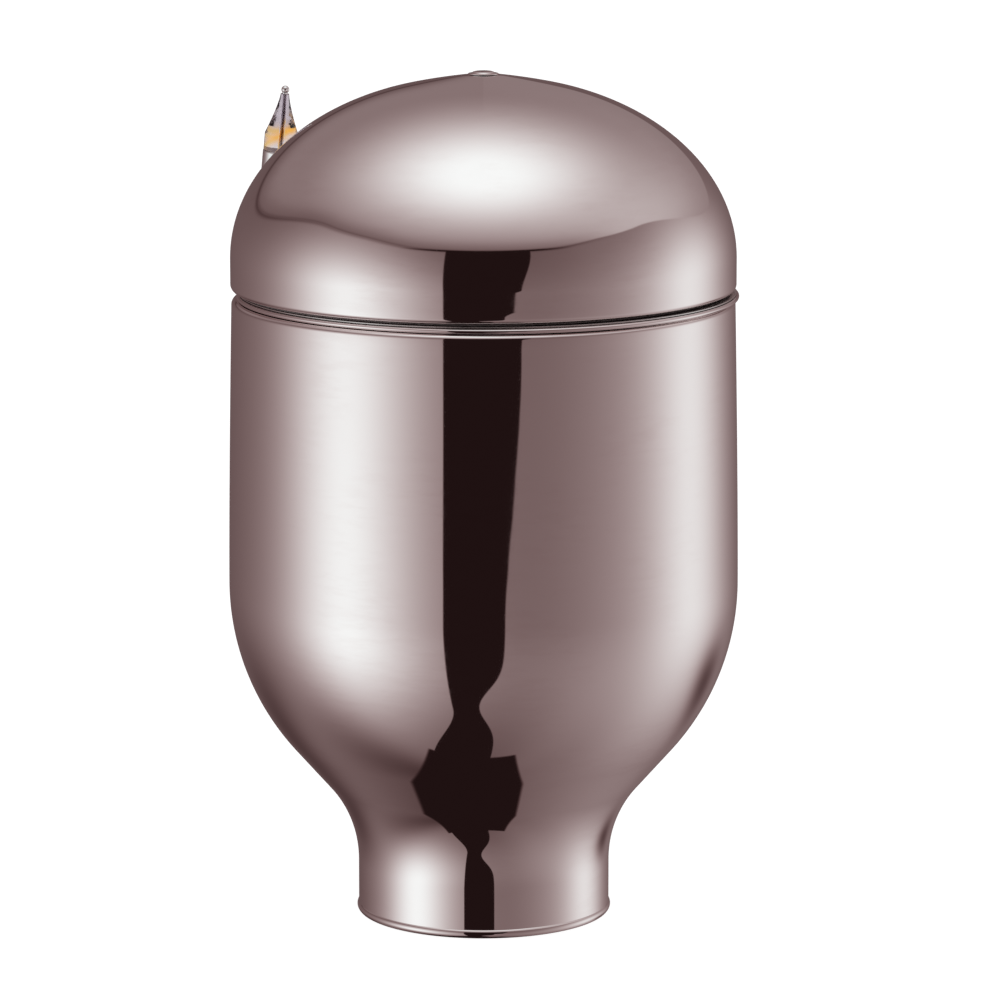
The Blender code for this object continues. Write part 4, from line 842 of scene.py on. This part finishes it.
# ---- Vessel ------------------------------------------------------------------------------------------------
@dataclass(frozen=True)
class Vessel:
    """The body of the urn: a spun foot, flare, shoulder and wall in one sheet, and its base."""

    radius: float = 0.1520
    rim_height: float = 0.3729
    neck_radius: float = 0.0754
    neck_height: float = 0.0310
    flare_radius: float = 0.0730
    flare_angle: float = math.radians(41.3)
    shoulder_radius: float = 0.1496
    swell: float = 0.0026
    swell_power: float = 1.4
    wall: float = 0.0010
    lip_round: float = 0.0031
    lip_inner_radius: float = 0.1450
    flange_radius: float = 0.0554
    flange_height: float = 0.0048
    bead_radius: float = 0.0032
    bead_out: float = 0.0732
    bead_height: float = 0.0035
    window_half: float = math.asin(0.0350 / 0.0749)  # half angle of the rear opening
    window_low: float = 0.0120
    window_high: float = 0.0450
    columns: int = 256

    def shoulder_top(self) -> float:
        """Height at which the shoulder's curve meets the wall."""
        flare_out = self.flare_radius * (1 - math.cos(self.flare_angle))
        shoulder_in = self.shoulder_radius * (1 - math.cos(self.flare_angle))
        cone = (self.radius - shoulder_in - self.neck_radius - flare_out) / math.tan(self.flare_angle)
        return self.neck_height + (self.flare_radius + self.shoulder_radius) * math.sin(self.flare_angle) + cone

    def profile(self) -> Array:
        """The outer outline from the flange under the foot up to the turned-in lip.

        Straight lines and arcs, then the wall: its radius falls from the widest by the swell times a power
        of the share of its height.

        Returns:
            Points of distance from the axis and height.
        """
        meet = math.acos((self.neck_radius - self.bead_out) / self.bead_radius)
        bead = arc((self.bead_out, self.bead_height), self.bead_radius, -0.72 * math.pi, meet, 22)
        above = (self.neck_radius, float(bead[-1, 1]))
        window_low, neck_top = (self.neck_radius, self.window_low), (self.neck_radius, self.neck_height)
        centre = (self.neck_radius + self.flare_radius, self.neck_height)
        split = math.pi - math.asin((self.window_high - self.neck_height) / self.flare_radius)
        top = self.shoulder_top()
        share = np.linspace(0, 1, 37)[1:]
        height = top + (self.rim_height - self.lip_round - top) * share
        wall = np.stack([self.radius - self.swell * share**self.swell_power, height], axis=1)
        lip_centre = (float(wall[-1, 0]) - self.lip_round, self.rim_height - self.lip_round)
        return chain(
            line((self.flange_radius, self.flange_height), (self.bead_out - 0.0048, self.flange_height), 2),
            bead,
            line(above, window_low, 5),
            line(window_low, neck_top, 8),
            arc(centre, self.flare_radius, math.pi, split, 8),
            arc(centre, self.flare_radius, split, math.pi - self.flare_angle, 22),
            arc((self.radius - self.shoulder_radius, top), self.shoulder_radius, -self.flare_angle, 0, 40),
            wall,
            arc(lip_centre, self.lip_round, 0, math.pi / 2, 12),
            line((lip_centre[0], self.rim_height), (self.lip_inner_radius, self.rim_height), 1),
        )

    def angles(self) -> tuple[Array, int]:
        """Angles round the axis, with columns exactly on both sides of the rear opening.

        Returns:
            The angles, and how many columns the opening takes.
        """
        inside = round(self.columns * self.window_half / math.pi)
        low, high = math.pi / 2 - self.window_half, math.pi / 2 + self.window_half
        window = np.linspace(low, high, inside, endpoint=False)
        rest = np.linspace(high, low + FULL_TURN, self.columns - inside, endpoint=False)
        return np.concatenate([window, rest]), inside

    def build(self, shop: Workshop) -> None:
        """Makes the shell with its rear opening, and the base under it.

        Args:
            shop: Makes and dresses the pieces.
        """
        outer = self.profile()
        inner = outer - outward(outer) * self.wall
        angles, inside = self.angles()
        keep = np.ones((len(outer) - 1, len(angles)), bool)
        slack = 1e-6
        low, high = outer[:-1, 1], outer[1:, 1]
        in_window = (low > self.window_low - slack) & (high < self.window_high + slack)
        keep[in_window, :inside] = False
        points = np.concatenate([turned(outer, angles), turned(inner, angles)])
        faces = walled_faces(len(outer), len(angles), keep)
        shop.surface("vessel_shell", points, faces, Slot.MIRROR, Body.BASE, ("body_shell",))
        pad = eased([(0, 0, 0), (0.0680, 0, 0.0012), (0.0680, 0.0030, 0.0003), (0, 0.0030, 0)])
        shop.lathe("foot_pad", pad, Slot.RUBBER, Body.BASE, ("base_pad",))
        shop.dress(Slot.SATIN, "base_plate")
        shop.dress(Slot.SCREW, *(f"base_screw_{number}" for number in range(1, 5)))


@dataclass(frozen=True)
class InnerVessels:
    """The water pan whose rolled rim shows under the lid, and the food pot that hangs in it."""

    pan_radius: float = 0.1419
    pan_floor: float = 0.14007
    pan_corner: float = 0.0240
    pan_wall: float = 0.0008
    bead_out: float = 0.14755
    bead_height: float = 0.37465
    bead_radius: float = 0.00145
    pot_radius: float = 0.1371
    pot_floor: float = 0.17187
    pot_floor_radius: float = 0.1311
    pot_corner: float = 0.0250
    pot_wall: float = 0.0008
    flange_radius: float = 0.1475
    flange_low: float = 0.3764
    columns: int = 256

    def pan_outline(self) -> Array:
        """The pan from its floor's underside, up its wall, round the rolled rim and down inside."""
        inside, wall = self.pan_radius - self.pan_wall, self.pan_wall
        up = eased([
            (0, self.pan_floor, 0),
            (self.pan_radius, self.pan_floor, self.pan_corner),
            (self.pan_radius, self.bead_height - 0.0009, 0.0003),
            (self.bead_out - 0.0013, self.bead_height - 0.0008, 0),
        ], steps=10)
        roll = arc((self.bead_out, self.bead_height), self.bead_radius, -0.83 * math.pi, 0.80 * math.pi, 26)
        down = eased([
            (self.bead_out - 0.0012, self.bead_height + 0.0008, 0),
            (inside, self.bead_height + 0.0007, 0.0006),
            (inside, self.pan_floor + wall, self.pan_corner - wall),
            (0, self.pan_floor + wall, 0),
        ], steps=10)
        return chain(up, roll, down)

    def pot_outline(self) -> Array:
        """The pot from its floor's underside, up its tapered wall, round the flange and down inside."""
        wall, top = self.pot_wall, self.flange_low + self.pot_wall
        return eased([
            (0, self.pot_floor, 0),
            (self.pot_floor_radius, self.pot_floor, self.pot_corner),
            (self.pot_radius, self.flange_low, 0.0008),
            (self.flange_radius, self.flange_low, 0.0003),
            (self.flange_radius, top, 0.0003),
            (self.pot_radius - wall, top, 0.0016),
            (self.pot_floor_radius - wall, self.pot_floor + wall, self.pot_corner - wall),
            (0, self.pot_floor + wall, 0),
        ], steps=10)

    def build(self, shop: Workshop) -> None:
        """Makes the pan, the pot, the bail and the heater under them.

        Args:
            shop: Makes and dresses the pieces.
        """
        for name, outline, slot, node in (
            ("bath_pan", self.pan_outline(), Slot.MIRROR, "water_pan"),
            ("soup_pot", self.pot_outline(), Slot.SATIN, "food_pot"),
        ):
            shop.lathe(name, outline, slot, Body.BASE, (node,), columns=self.columns, place=PAN_SEAT)
        for side in ("left", "right"):
            shop.soften(f"bail_ear_{side}", Slot.SATIN, Body.BASE, 0.0004)
        shop.dress(Slot.SATIN, "pot_bail")
        shop.dress(Slot.ALUMINIUM, "heat_spreader")
        shop.dress(Slot.SHEATH, "heating_element")
        shop.dress(Slot.SATIN, "element_clamp")
        shop.dress(Slot.SCREW, *(f"clamp_bolt_{number}" for number in range(1, 4)))
        shop.dress(Slot.PALE, "thermal_cutout")


@dataclass(frozen=True)
class Lid:
    """The domed lid with its turned-in lip, seal, drip skirt and the stepped button on its crown."""

    radius: float = 0.1499
    low: float = 0.3787
    lip_width: float = 0.0110
    lip_round: float = 0.0032
    skirt: float = 0.0183
    dome_height: float = 0.1068
    power_out: float = 2.06
    power_up: float = 2.01
    crown_flat: float = 0.0095
    crown_rise: float = 0.0028  # soft point drawn up at the crown
    crown_reach: float = 0.0450
    hole: float = 0.0024
    button_height: float = 0.0018
    wall: float = 0.0010
    columns: int = 256
    dome_rows: int = 110

    def dome_low(self) -> float:
        """Height at which the dome starts."""
        return self.low + self.skirt

    def profile(self) -> Array:
        """The outline from the lip's inner edge, round the edge and over the dome to the stud's hole.

        The dome is a superellipse: out to its power plus up to its power is one. Its points go as the
        cosine and sine of an angle to two over those powers, closer together at its foot. The point at the
        crown adds its rise times the square of what is left of its reach.

        Returns:
            Points of distance from the axis and height.
        """
        last = math.acos((self.crown_flat / self.radius) ** (self.power_out / 2))
        angle = last * np.linspace(0, 1, self.dome_rows + 1) ** 1.5
        out = self.radius * np.cos(angle) ** (2 / self.power_out)
        up = self.dome_low() + self.dome_height * np.sin(angle) ** (2 / self.power_up)
        up = up + self.crown_rise * np.maximum(0.0, 1 - out / self.crown_reach) ** 2
        crown = float(up[-1])
        edge = arc((self.radius - self.lip_round, self.low + self.lip_round), self.lip_round, -math.pi / 2, 0, 14)
        return chain(
            line((self.radius - self.lip_width, self.low), (float(edge[0, 0]), self.low), 1),
            edge,
            line((self.radius, self.low + self.lip_round), (self.radius, self.dome_low()), 4),
            np.stack([out, up], axis=1),
            line((self.crown_flat, crown), (self.hole, crown), 2),
        )

    def build(self, shop: Workshop) -> None:
        """Makes the dome and what is fixed to it.

        Args:
            shop: Makes and dresses the pieces.
        """
        outer = self.profile()
        inner = outer - outward(outer) * self.wall
        angles = even_angles(self.columns)
        points = np.concatenate([turned(outer, angles), turned(inner, angles)])
        keep = np.ones((len(outer) - 1, len(angles)), bool)
        faces = walled_faces(len(outer), len(angles), keep)
        shop.surface("lid_dome", points, faces, Slot.MIRROR, Body.LID, ("lid_shell",))
        seal = eased([(0.1392, 0.3775, 0.0002), (0.1452, 0.3775, 0.0004), (0.1452, 0.3784, 0.0004),
                      (0.1392, 0.3784, 0.0002)], closed=True)
        shop.lathe("rim_seal", seal, Slot.RUBBER, Body.LID, ("lid_seal",), closed=True, columns=200)
        skirt = eased([(0.1434, 0.3800, 0.0003), (0.1434, 0.3810, 0.0003), (0.1313, 0.3810, 0.0014),
                       (0.1313, 0.3637, 0.0004), (0.1323, 0.3637, 0.0004), (0.1323, 0.3800, 0.0004)], closed=True)
        shop.lathe("drip_ring", skirt, Slot.SATIN, Body.LID, ("drip_skirt",), closed=True, columns=200)
        self.build_button(shop)

    def build_button(self, shop: Workshop) -> None:
        """Makes the stepped button on its stud, with the washer and nut inside the dome.

        Args:
            shop: Makes and dresses the pieces.
        """
        low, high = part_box("top_button")
        seat, top = high.z - self.button_height, high.z
        button = eased([
            (0, top, 0), (0.0050, top - 0.0001, 0.0016), (0.0064, top - 0.0006, 0.0006),
            (0.0066, top - 0.0010, 0.0003), (0.0084, top - 0.0012, 0.0008), (0.0090, seat + 0.0004, 0.0003),
            (0.0090, seat, 0.0001), (0.0020, seat, 0.0002), (0.0020, low.z, 0.0003), (0, low.z, 0),
        ])
        shop.lathe("crown_button", button, Slot.MIRROR, Body.LID, ("top_button",), columns=72)
        for node, slot in (("button_washer", Slot.SATIN), ("button_nut", Slot.SCREW)):
            shop.soften(node, slot, Body.LID, 0.0002)


@dataclass(frozen=True)
class Hinge:
    """The rear hinge: bracket, lid leaf, pin, bush and their fixings."""

    plate_ease: float = 0.0005
    small_ease: float = 0.0003

    def build(self, shop: Workshop) -> None:
        """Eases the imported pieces.

        Args:
            shop: Makes and dresses the pieces.
        """
        shop.soften("hinge_bracket", Slot.SATIN, Body.BASE, self.plate_ease)
        shop.soften("lid_leaf", Slot.SATIN, Body.LID, self.plate_ease)
        shop.soften("hinge_pin", Slot.SATIN, Body.BASE, self.small_ease)
        shop.soften("pin_cap", Slot.SATIN, Body.BASE, self.small_ease)
        shop.dress(Slot.BRONZE, "hinge_bush")
        for name, body in (("bracket", Body.BASE), ("leaf", Body.LID)):
            shop.dress(Slot.SATIN, f"{name}_backing_plate")
            for number in (1, 2):
                shop.soften(f"{name}_screw_{number}", Slot.SCREW, body, self.small_ease)


@dataclass(frozen=True)
class Grip:
    """The lever's grip: chrome ferrule, glass horn with an amber band in it, tie rod and ball."""

    foot: tuple[float, float, float] = (0.0, 0.1792, 0.4221)
    lean: float = math.radians(7.5)
    ferrule_radius: float = 0.0106
    ferrule_height: float = 0.0240
    horn_radius: float = 0.0103
    tip_radius: float = 0.0026
    horn_height: float = 0.0350
    kink: float = 0.29  # share of the horn's height that is straight
    draw: float = 1.3  # power of the draw from there to the tip
    gap: float = 0.0003
    bore: float = 0.0012
    rod_radius: float = 0.0008
    ball_radius: float = 0.0024
    columns: int = 72

    def horn_profile(self, share: Array) -> Array:
        """Radius of the horn: full up to the kink, then drawn in to the tip by a power of what is left.

        Args:
            share: Share of the horn's height.

        Returns:
            The radius at each share.
        """
        left = np.clip((1 - share) / (1 - self.kink), 0, 1)
        return self.tip_radius + (self.horn_radius - self.tip_radius) * left**self.draw

    def put(self, points: Array) -> Array:
        """Points on the grip's own axis put in their place.

        Args:
            points: Points with the grip's foot at zero and its axis along Z.

        Returns:
            The points in the part's frame.
        """
        turn = np.array(Matrix.Rotation(self.lean, 3, "X"))
        return points @ turn.T + np.array(self.foot)

    def stand(self, shop: Workshop, name: str, outline: Array, slot: Slot, node: str, closed: bool = False) -> None:
        """A turned piece on the grip's axis.

        Args:
            shop: Makes and dresses the pieces.
            name: The piece's name.
            outline: Its outline.
            slot: Its finish.
            node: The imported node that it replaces.
            closed: Whether its outline closes on itself.
        """
        points = self.put(turned(outline, even_angles(self.columns)))
        faces = grid_faces(len(outline), self.columns, closed)
        shop.surface(name, points, faces, slot, Body.LID, (node,))

    def build(self, shop: Workshop) -> None:
        """Makes the grip from its foot to its tip.

        Args:
            shop: Makes and dresses the pieces.
        """
        high, bore = self.ferrule_height, self.bore
        ferrule = eased([
            (bore, 0, 0), (0.0064, 0, 0.0004), (0.0078, 0.0012, 0.0008), (self.ferrule_radius, 0.0050, 0.0022),
            (self.ferrule_radius, high, 0.0009), (bore, high, 0),
        ], closed=True)
        self.stand(shop, "ferrule", ferrule, Slot.CHROME, "grip_ferrule", True)
        low = high + self.gap
        share = np.linspace(0, 1, 61)
        side = np.stack([self.horn_profile(share), low + self.horn_height * share], axis=1)
        ends = np.array([[bore, low + self.horn_height], [bore, low]])
        self.stand(shop, "glass_horn", chain(side, ends), Slot.GLASS, "glass_grip", True)
        top = low + self.horn_height + self.gap
        rod = eased([(0, 0.0008, 0), (self.rod_radius, 0.0008, 0.0002), (self.rod_radius, top + 0.0010, 0.0002),
                     (0, top + 0.0010, 0)])
        self.stand(shop, "grip_rod", rod, Slot.SATIN, "tie_rod")
        ball = arc((0, top + self.ball_radius), self.ball_radius, math.pi / 2, -math.pi / 4, 24)
        hole = [[float(ball[-1, 0]), top], [bore, top], [bore, top + 0.0014], [0, top + 0.0014]]
        self.stand(shop, "tip_ball", chain(ball, np.array(hole)), Slot.CHROME, "tip_ball_nut")


@dataclass(frozen=True)
class Controls:
    """The recessed panel in the foot's rear with its inlet, switch, lamp and thermostat, and the wiring."""

    panel_ease: float = 0.0003
    knob_ease: float = 0.0004
    knob_flutes: int = 18
    knob_columns: int = 144

    def knob(self, shop: Workshop) -> None:
        """The thermostat knob: a fluted cap whose radius waves with the angle between its skirt and its top.

        Args:
            shop: Makes and dresses the pieces.
        """
        low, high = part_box("thermostat_knob")
        middle = (np.array(low) + np.array(high)) / 2
        radius, height = (high.x - low.x) / 2, high.y - low.y
        outline = eased([
            (0, height - 0.0006, 0), (radius * 0.55, height, 0.0012), (radius * 0.82, height, 0.0010),
            (radius * 0.86, 0.0022, 0.0004), (radius, 0.0018, 0.0005), (radius, 0, 0.0004),
            (radius * 0.8, 0, 0.0003), (radius * 0.8, 0.0042, 0.0003), (0.0036, 0.0042, 0.0003),
            (0.0036, 0.0072, 0.0002), (0, 0.0072, 0),
        ])
        angles = even_angles(self.knob_columns)
        out, up = outline[:, :1], outline[:, 1:]
        on_side = np.clip((up - 0.0024) / 0.0010, 0, 1) * np.clip((height + 0.0001 - up) / 0.0012, 0, 1)
        on_side = on_side * (out > radius * 0.81)
        waved = out - 0.00045 * on_side * (0.5 + 0.5 * np.cos(self.knob_flutes * angles)) ** 2
        level = np.broadcast_to(up, waved.shape)
        points = np.stack([waved * np.cos(angles), level, -waved * np.sin(angles)], axis=2)
        points = points + np.array([middle[0], low.y, middle[2]])
        faces = grid_faces(len(outline), self.knob_columns)
        shop.surface("fluted_knob", points, faces, Slot.BLACK, Body.KNOB, ("thermostat_knob",))

    def build(self, shop: Workshop) -> None:
        """Makes the knob, eases the panel's pieces and dresses the wiring.

        Args:
            shop: Makes and dresses the pieces.
        """
        for node, slot, body, width in (
            ("control_panel", Slot.SATIN, Body.BASE, self.panel_ease),
            ("appliance_inlet", Slot.BLACK, Body.BASE, self.panel_ease),
            ("switch_housing", Slot.BLACK, Body.BASE, self.panel_ease),
            ("rocker", Slot.RED, Body.ROCKER, self.knob_ease),
            ("indicator_lamp", Slot.AMBER, Body.BASE, self.panel_ease),
            ("thermostat_nut", Slot.BRONZE, Body.BASE, self.panel_ease),
            ("panel_screw_1", Slot.SCREW, Body.BASE, self.panel_ease),
            ("panel_screw_2", Slot.SCREW, Body.BASE, self.panel_ease),
        ):
            shop.soften(node, slot, body, width)
        self.knob(shop)
        shop.dress(Slot.SATIN, "knob_shaft")
        shop.dress(Slot.BRONZE, *(f"inlet_pin_{name}" for name in ("line", "neutral", "earth")))
        shop.dress(Slot.PALE, "thermostat", "terminal_block")
        shop.dress(Slot.BROWN_LEAD, "line_lead", "heater_lead_a")
        shop.dress(Slot.BLUE_LEAD, "neutral_lead", "heater_lead_b")
        shop.dress(Slot.GREEN_LEAD, "earth_lead")


# ---- Studio -----------------------------------------------------------------------------------------------
@dataclass(frozen=True)
class Viewpoint:
    """The camera, on a level line at 45 degrees to the front of the urn and tilted down."""

    distance: float = 3.2
    height: float = 0.838
    bearing: float = math.radians(-45.0)
    pitch: float = math.radians(10.4)
    swing: float = math.atan(16.7 / 5450)  # how far the view is turned to the right of the axis
    roll: float = math.radians(0.0)
    lens: float = 196.2
    sensor: float = 36.0

    def build(self) -> bpy.types.Object:
        """Makes the camera and gives it to the scene.

        Returns:
            The camera.
        """
        data = bpy.data.cameras.new("viewpoint")
        data.lens, data.sensor_width = self.lens, self.sensor
        data.clip_end = 60.0
        camera = bpy.data.objects.new("viewpoint", data)
        heading = self.bearing - self.swing
        ahead = Vector((-math.sin(heading), math.cos(heading), -math.tan(self.pitch)))
        turn = ahead.to_track_quat("-Z", "Y").to_matrix().to_4x4()
        out = Vector((math.sin(self.bearing), -math.cos(self.bearing), 0)) * self.distance
        place = Matrix.Translation(out + Vector((0, 0, self.height)))
        camera.matrix_world = place @ turn @ Matrix.Rotation(self.roll, 4, "Z")
        bpy.context.scene.collection.objects.link(camera)
        bpy.context.scene.camera = camera
        return camera


@dataclass(frozen=True)
class Glow:
    """A soft light far round the studio: where its middle is, how wide it spreads and how much it adds."""

    azimuth: float
    elevation: float
    width: float
    height: float
    level: float


@dataclass(frozen=True)
class Studio:
    """The light round the urn, as levels of brightness by direction.

    Azimuth is in degrees from the camera's side, positive to its right, and elevation in degrees above the
    horizon. Low down, two tall soft lights stand left and right between plain walls, with a dark narrow
    backdrop behind the camera. Overhead hangs a pale canopy whose edge shows as a line.
    """

    wall_level: float = 0.366
    glows: tuple[Glow, ...] = (
        Glow(-66, -9, 29, 29, 0.431),
        Glow(-71, -28, 60, 24, 0.209),
        Glow(107, -4, 25, 25, 0.439),
        Glow(110, -40, 60, 27, 0.170),
        Glow(55, 5, 20, 60, 0.064),
        Glow(-152, -28, 20, 8, -0.139),
        Glow(142, -24, 9, 4, -0.263),
        Glow(-102, -72, 20, 48, -0.124),
    )
    canopy_level: float = 0.522
    canopy_gain: float = 0.445
    canopy_glow: Glow = Glow(95, 28, 36, 13, 0.19)
    canopy_lean: float = 6.0
    canopy_inner: float = 6.0
    canopy_outer: float = 66.0
    canopy_edge: float = 26.0
    canopy_lift: float = 2.5  # how much higher its edge stands at the sides
    canopy_fall: float = 18.0  # how much lower it hangs at the back
    edge_shade: float = -0.10
    edge_line: float = -0.10
    backdrop_level: float = 0.140
    backdrop_half: float = 17.9
    base_sides: tuple[float, float] = (-0.305, 0.175)  # the backdrop's foot, in plan: left and right
    base_front: float = 0.225
    strength: float = 1.2
    plain_level: float = 1.0

    def direction(self, graph: Graph) -> dict[str, Socket]:
        """Works out where a ray goes.

        Args:
            graph: The world's graph.

        Returns:
            Azimuth and elevation in degrees, and the shares to the right, towards the camera and upwards.
        """
        ray = graph.add("ShaderNodeTexCoord").outputs["Generated"]
        half = math.sqrt(0.5)
        right = graph.add("ShaderNodeVectorMath", {0: ray, 1: (half, -half, 0)}, operation="DOT_PRODUCT").outputs[1]
        front = graph.add("ShaderNodeVectorMath", {0: ray, 1: (-half, -half, 0)}, operation="DOT_PRODUCT").outputs[1]
        height = graph.add("ShaderNodeSeparateXYZ", {0: ray}).outputs[2]
        azimuth = graph.math("DEGREES", graph.math("ARCTAN2", right, front))
        elevation = graph.math("DEGREES", graph.math("ARCSINE", height))
        return {"azimuth": azimuth, "elevation": elevation, "right": right, "front": front, "height": height}

    def lift(self, graph: Graph, azimuth: Socket, elevation: Socket, glow: Glow, level: Socket) -> Socket:
        """Adds a glow to a level.

        Args:
            graph: The world's graph.
            azimuth: The ray's azimuth.
            elevation: The ray's elevation.
            glow: What is added.
            level: What it is added to.

        Returns:
            The new level.
        """
        across = graph.bell(azimuth, glow.azimuth, glow.width)
        up = graph.bell(elevation, glow.elevation, glow.height)
        return graph.math("MULTIPLY_ADD", graph.math("MULTIPLY", across, up), glow.level, level)

    def low_part(self, graph: Graph, azimuth: Socket, elevation: Socket) -> Socket:
        """Walls and the two tall lights."""
        level = graph.math("ADD", self.wall_level, 0.0)
        for glow in self.glows:
            level = self.lift(graph, azimuth, elevation, glow, level)
        return level

    def high_part(self, graph: Graph, ray: dict[str, Socket]) -> Socket:
        """The canopy, brightest in a wide patch a little in front of straight up."""
        lean = math.radians(self.canopy_lean)
        toward = graph.math("MULTIPLY", ray["front"], math.sin(lean))
        along = graph.math("MULTIPLY_ADD", ray["height"], math.cos(lean), toward)
        away = graph.math("DEGREES", graph.math("ARCCOSINE", graph.math("MINIMUM", along, 1.0)))
        patch = graph.ease(away, self.canopy_outer, self.canopy_inner)
        level = graph.math("MULTIPLY_ADD", patch, self.canopy_gain, self.canopy_level)
        return self.lift(graph, ray["azimuth"], ray["elevation"], self.canopy_glow, level)

    def backdrop(self, graph: Graph, ray: dict[str, Socket]) -> Socket:
        """Where the dark backdrop behind the camera shows, with its crossbar under the canopy and its foot.

        Its right side steps in below the horizon and draws in again to a waist. Its left side spreads
        towards the floor.
        """
        azimuth, elevation = ray["azimuth"], ray["elevation"]
        depth = graph.math("MAXIMUM", graph.math("SUBTRACT", -49.0, elevation), 0.0)
        spread = graph.math("MULTIPLY", graph.math("MULTIPLY", depth, depth), -0.08)
        left = graph.math("SUBTRACT", spread, self.backdrop_half)
        step = graph.math("MULTIPLY", graph.ease(elevation, -11.0, -6.4), 7.3)
        rise = graph.math("MULTIPLY", graph.ease(elevation, -9.0, 26.0), 5.4)
        waist = graph.math("MULTIPLY", graph.bell(elevation, -48.5, 8.5), -12.0)
        right = graph.math("ADD", graph.math("ADD", graph.math("ADD", step, rise), waist), 9.5)
        inside_left = graph.ease(graph.math("SUBTRACT", azimuth, left), -0.4, 0.4)
        inside_right = graph.ease(graph.math("SUBTRACT", right, azimuth), -0.4, 0.4)
        under = graph.ease(elevation, 26.6, 25.6)
        strip = graph.math("MULTIPLY", graph.math("MULTIPLY", inside_left, inside_right), under)
        across = graph.ease(graph.math("ABSOLUTE", graph.math("SUBTRACT", azimuth, 1.5)), 44.0, 21.0)
        bar = graph.math("MULTIPLY", graph.math("MULTIPLY", across, graph.ease(elevation, 24.4, 25.4)), under)
        sides = graph.math("MULTIPLY", graph.ease(ray["right"], self.base_sides[0] - 0.01, self.base_sides[0] + 0.01),
                           graph.ease(ray["right"], self.base_sides[1] + 0.01, self.base_sides[1] - 0.01))
        foot = graph.math("MULTIPLY", sides, graph.ease(ray["front"], self.base_front + 0.01, self.base_front - 0.01))
        foot = graph.math("MULTIPLY", foot, graph.ease(elevation, -50.0, -52.0))
        return graph.math("MAXIMUM", graph.math("MAXIMUM", strip, bar), foot)

    def canopy_over(self, graph: Graph, ray: dict[str, Socket]) -> Socket:
        """How far a ray goes above the canopy's edge, which is highest at the sides and lowest at the back."""
        wide = graph.math("ABSOLUTE", ray["azimuth"])
        lift = graph.math("MULTIPLY", graph.ease(wide, 30.0, 62.0), self.canopy_lift)
        fall = graph.math("MULTIPLY", graph.ease(wide, 84.0, 146.0), -self.canopy_fall)
        edge = graph.math("ADD", graph.math("ADD", lift, fall), self.canopy_edge)
        return graph.math("SUBTRACT", ray["elevation"], edge)

    def build_world(self) -> bpy.types.World:
        """Makes the light. The camera itself sees a plain pale surround.

        Returns:
            The world.
        """
        world = bpy.data.worlds.new("studio_light")
        world.use_nodes = True
        graph = Graph(world.node_tree)
        ray = self.direction(graph)
        low = self.low_part(graph, ray["azimuth"], ray["elevation"])
        over = self.canopy_over(graph, ray)
        ahead = graph.ease(ray["azimuth"], 75.0, 30.0)
        shade = graph.math("MULTIPLY", graph.bell(over, 0.0, 4.5), graph.ease(over, -0.6, 0.6))
        shade = graph.math("MULTIPLY", shade, ahead)
        high = graph.math("MULTIPLY_ADD", shade, self.edge_shade, self.high_part(graph, ray))
        level = graph.blend(graph.ease(over, -0.6, 0.6), low, high)
        thin = graph.math("MULTIPLY", graph.bell(over, -0.4, 0.8), ahead)
        level = graph.math("MULTIPLY_ADD", thin, self.edge_line, level)
        level = graph.blend(self.backdrop(graph, ray), level, self.backdrop_level)
        stops = [(share, self.tone(share)) for share in np.linspace(0.0, 1.0, 24)]
        colour = graph.ramp(level, stops)
        seen = graph.add("ShaderNodeLightPath").outputs["Is Camera Ray"]
        plain = (self.plain_level / self.strength,) * 3
        colour = graph.blend_colour(seen, colour, (*plain, 1.0))
        background = world.node_tree.nodes["Background"]
        graph.feed(background.inputs["Color"], colour)
        background.inputs["Strength"].default_value = self.strength
        bpy.context.scene.world = world
        return world

    def tone(self, level: float) -> Colour:
        """The light's colour at a level: the level to the power 2.2, warm when dim and neutral when bright.

        Args:
            level: The level, from 0 to 1.

        Returns:
            The colour, before the strength is applied.
        """
        red = float(level) ** 2.2 / self.strength / 0.93
        return red, red * (0.36 + 0.74 * float(level)), red * (0.365 + 0.735 * float(level))

    def build_floor(self) -> bpy.types.Object:
        """Makes the pale floor, a wide disc just under the pad, which polished surfaces don't mirror.

        Returns:
            The floor.
        """
        rings = np.array([0.0, 0.3, 1.0, 3.0, 14.0])
        outline = np.stack([rings, np.full(5, -0.0003)], axis=1)
        points = turned(outline, even_angles(96)).reshape(-1, 3)
        mesh = bpy.data.meshes.new("pale_floor")
        mesh.from_pydata(points.tolist(), [], grid_faces(5, 96).reshape(-1, 4).tolist())
        mesh.update()
        floor = bpy.data.objects.new("pale_floor", mesh)
        bpy.context.scene.collection.objects.link(floor)
        made, graph, shader, place = start_material("floor_paint")
        cloud = graph.noise(place, 2.0, 2.0, 0.5)
        graph.feed(shader.inputs["Base Color"], graph.blend_colour(cloud, (0.34, 0.34, 0.34, 1.0), (0.36, 0.36, 0.36, 1.0)))
        shader.inputs["Roughness"].default_value = 0.9
        shader.inputs["Specular IOR Level"].default_value = 0.0
        shader.inputs["Emission Color"].default_value = (1.0, 1.0, 1.0, 1.0)
        shader.inputs["Emission Strength"].default_value = 0.94
        mesh.materials.append(made)
        floor.visible_glossy = False
        return floor

    def build(self) -> None:
        """Makes the light and the floor, with colours shown as they are."""
        self.build_world()
        self.build_floor()
        bpy.context.scene.view_settings.view_transform = "Standard"
        bpy.context.scene.view_settings.look = "None"


def main() -> None:
    """Builds the studio and every sub-assembly in order."""
    logging.basicConfig(level=logging.INFO, format="%(name)s: %(message)s")
    Viewpoint().build()
    Studio().build()
    shop = Workshop()
    for assembly in (Vessel(), InnerVessels(), Lid(), Hinge(), Grip(), Controls()):
        LOG.info("building %s", type(assembly).__name__)
        assembly.build(shop)


if __name__ == "__main__":
    main()
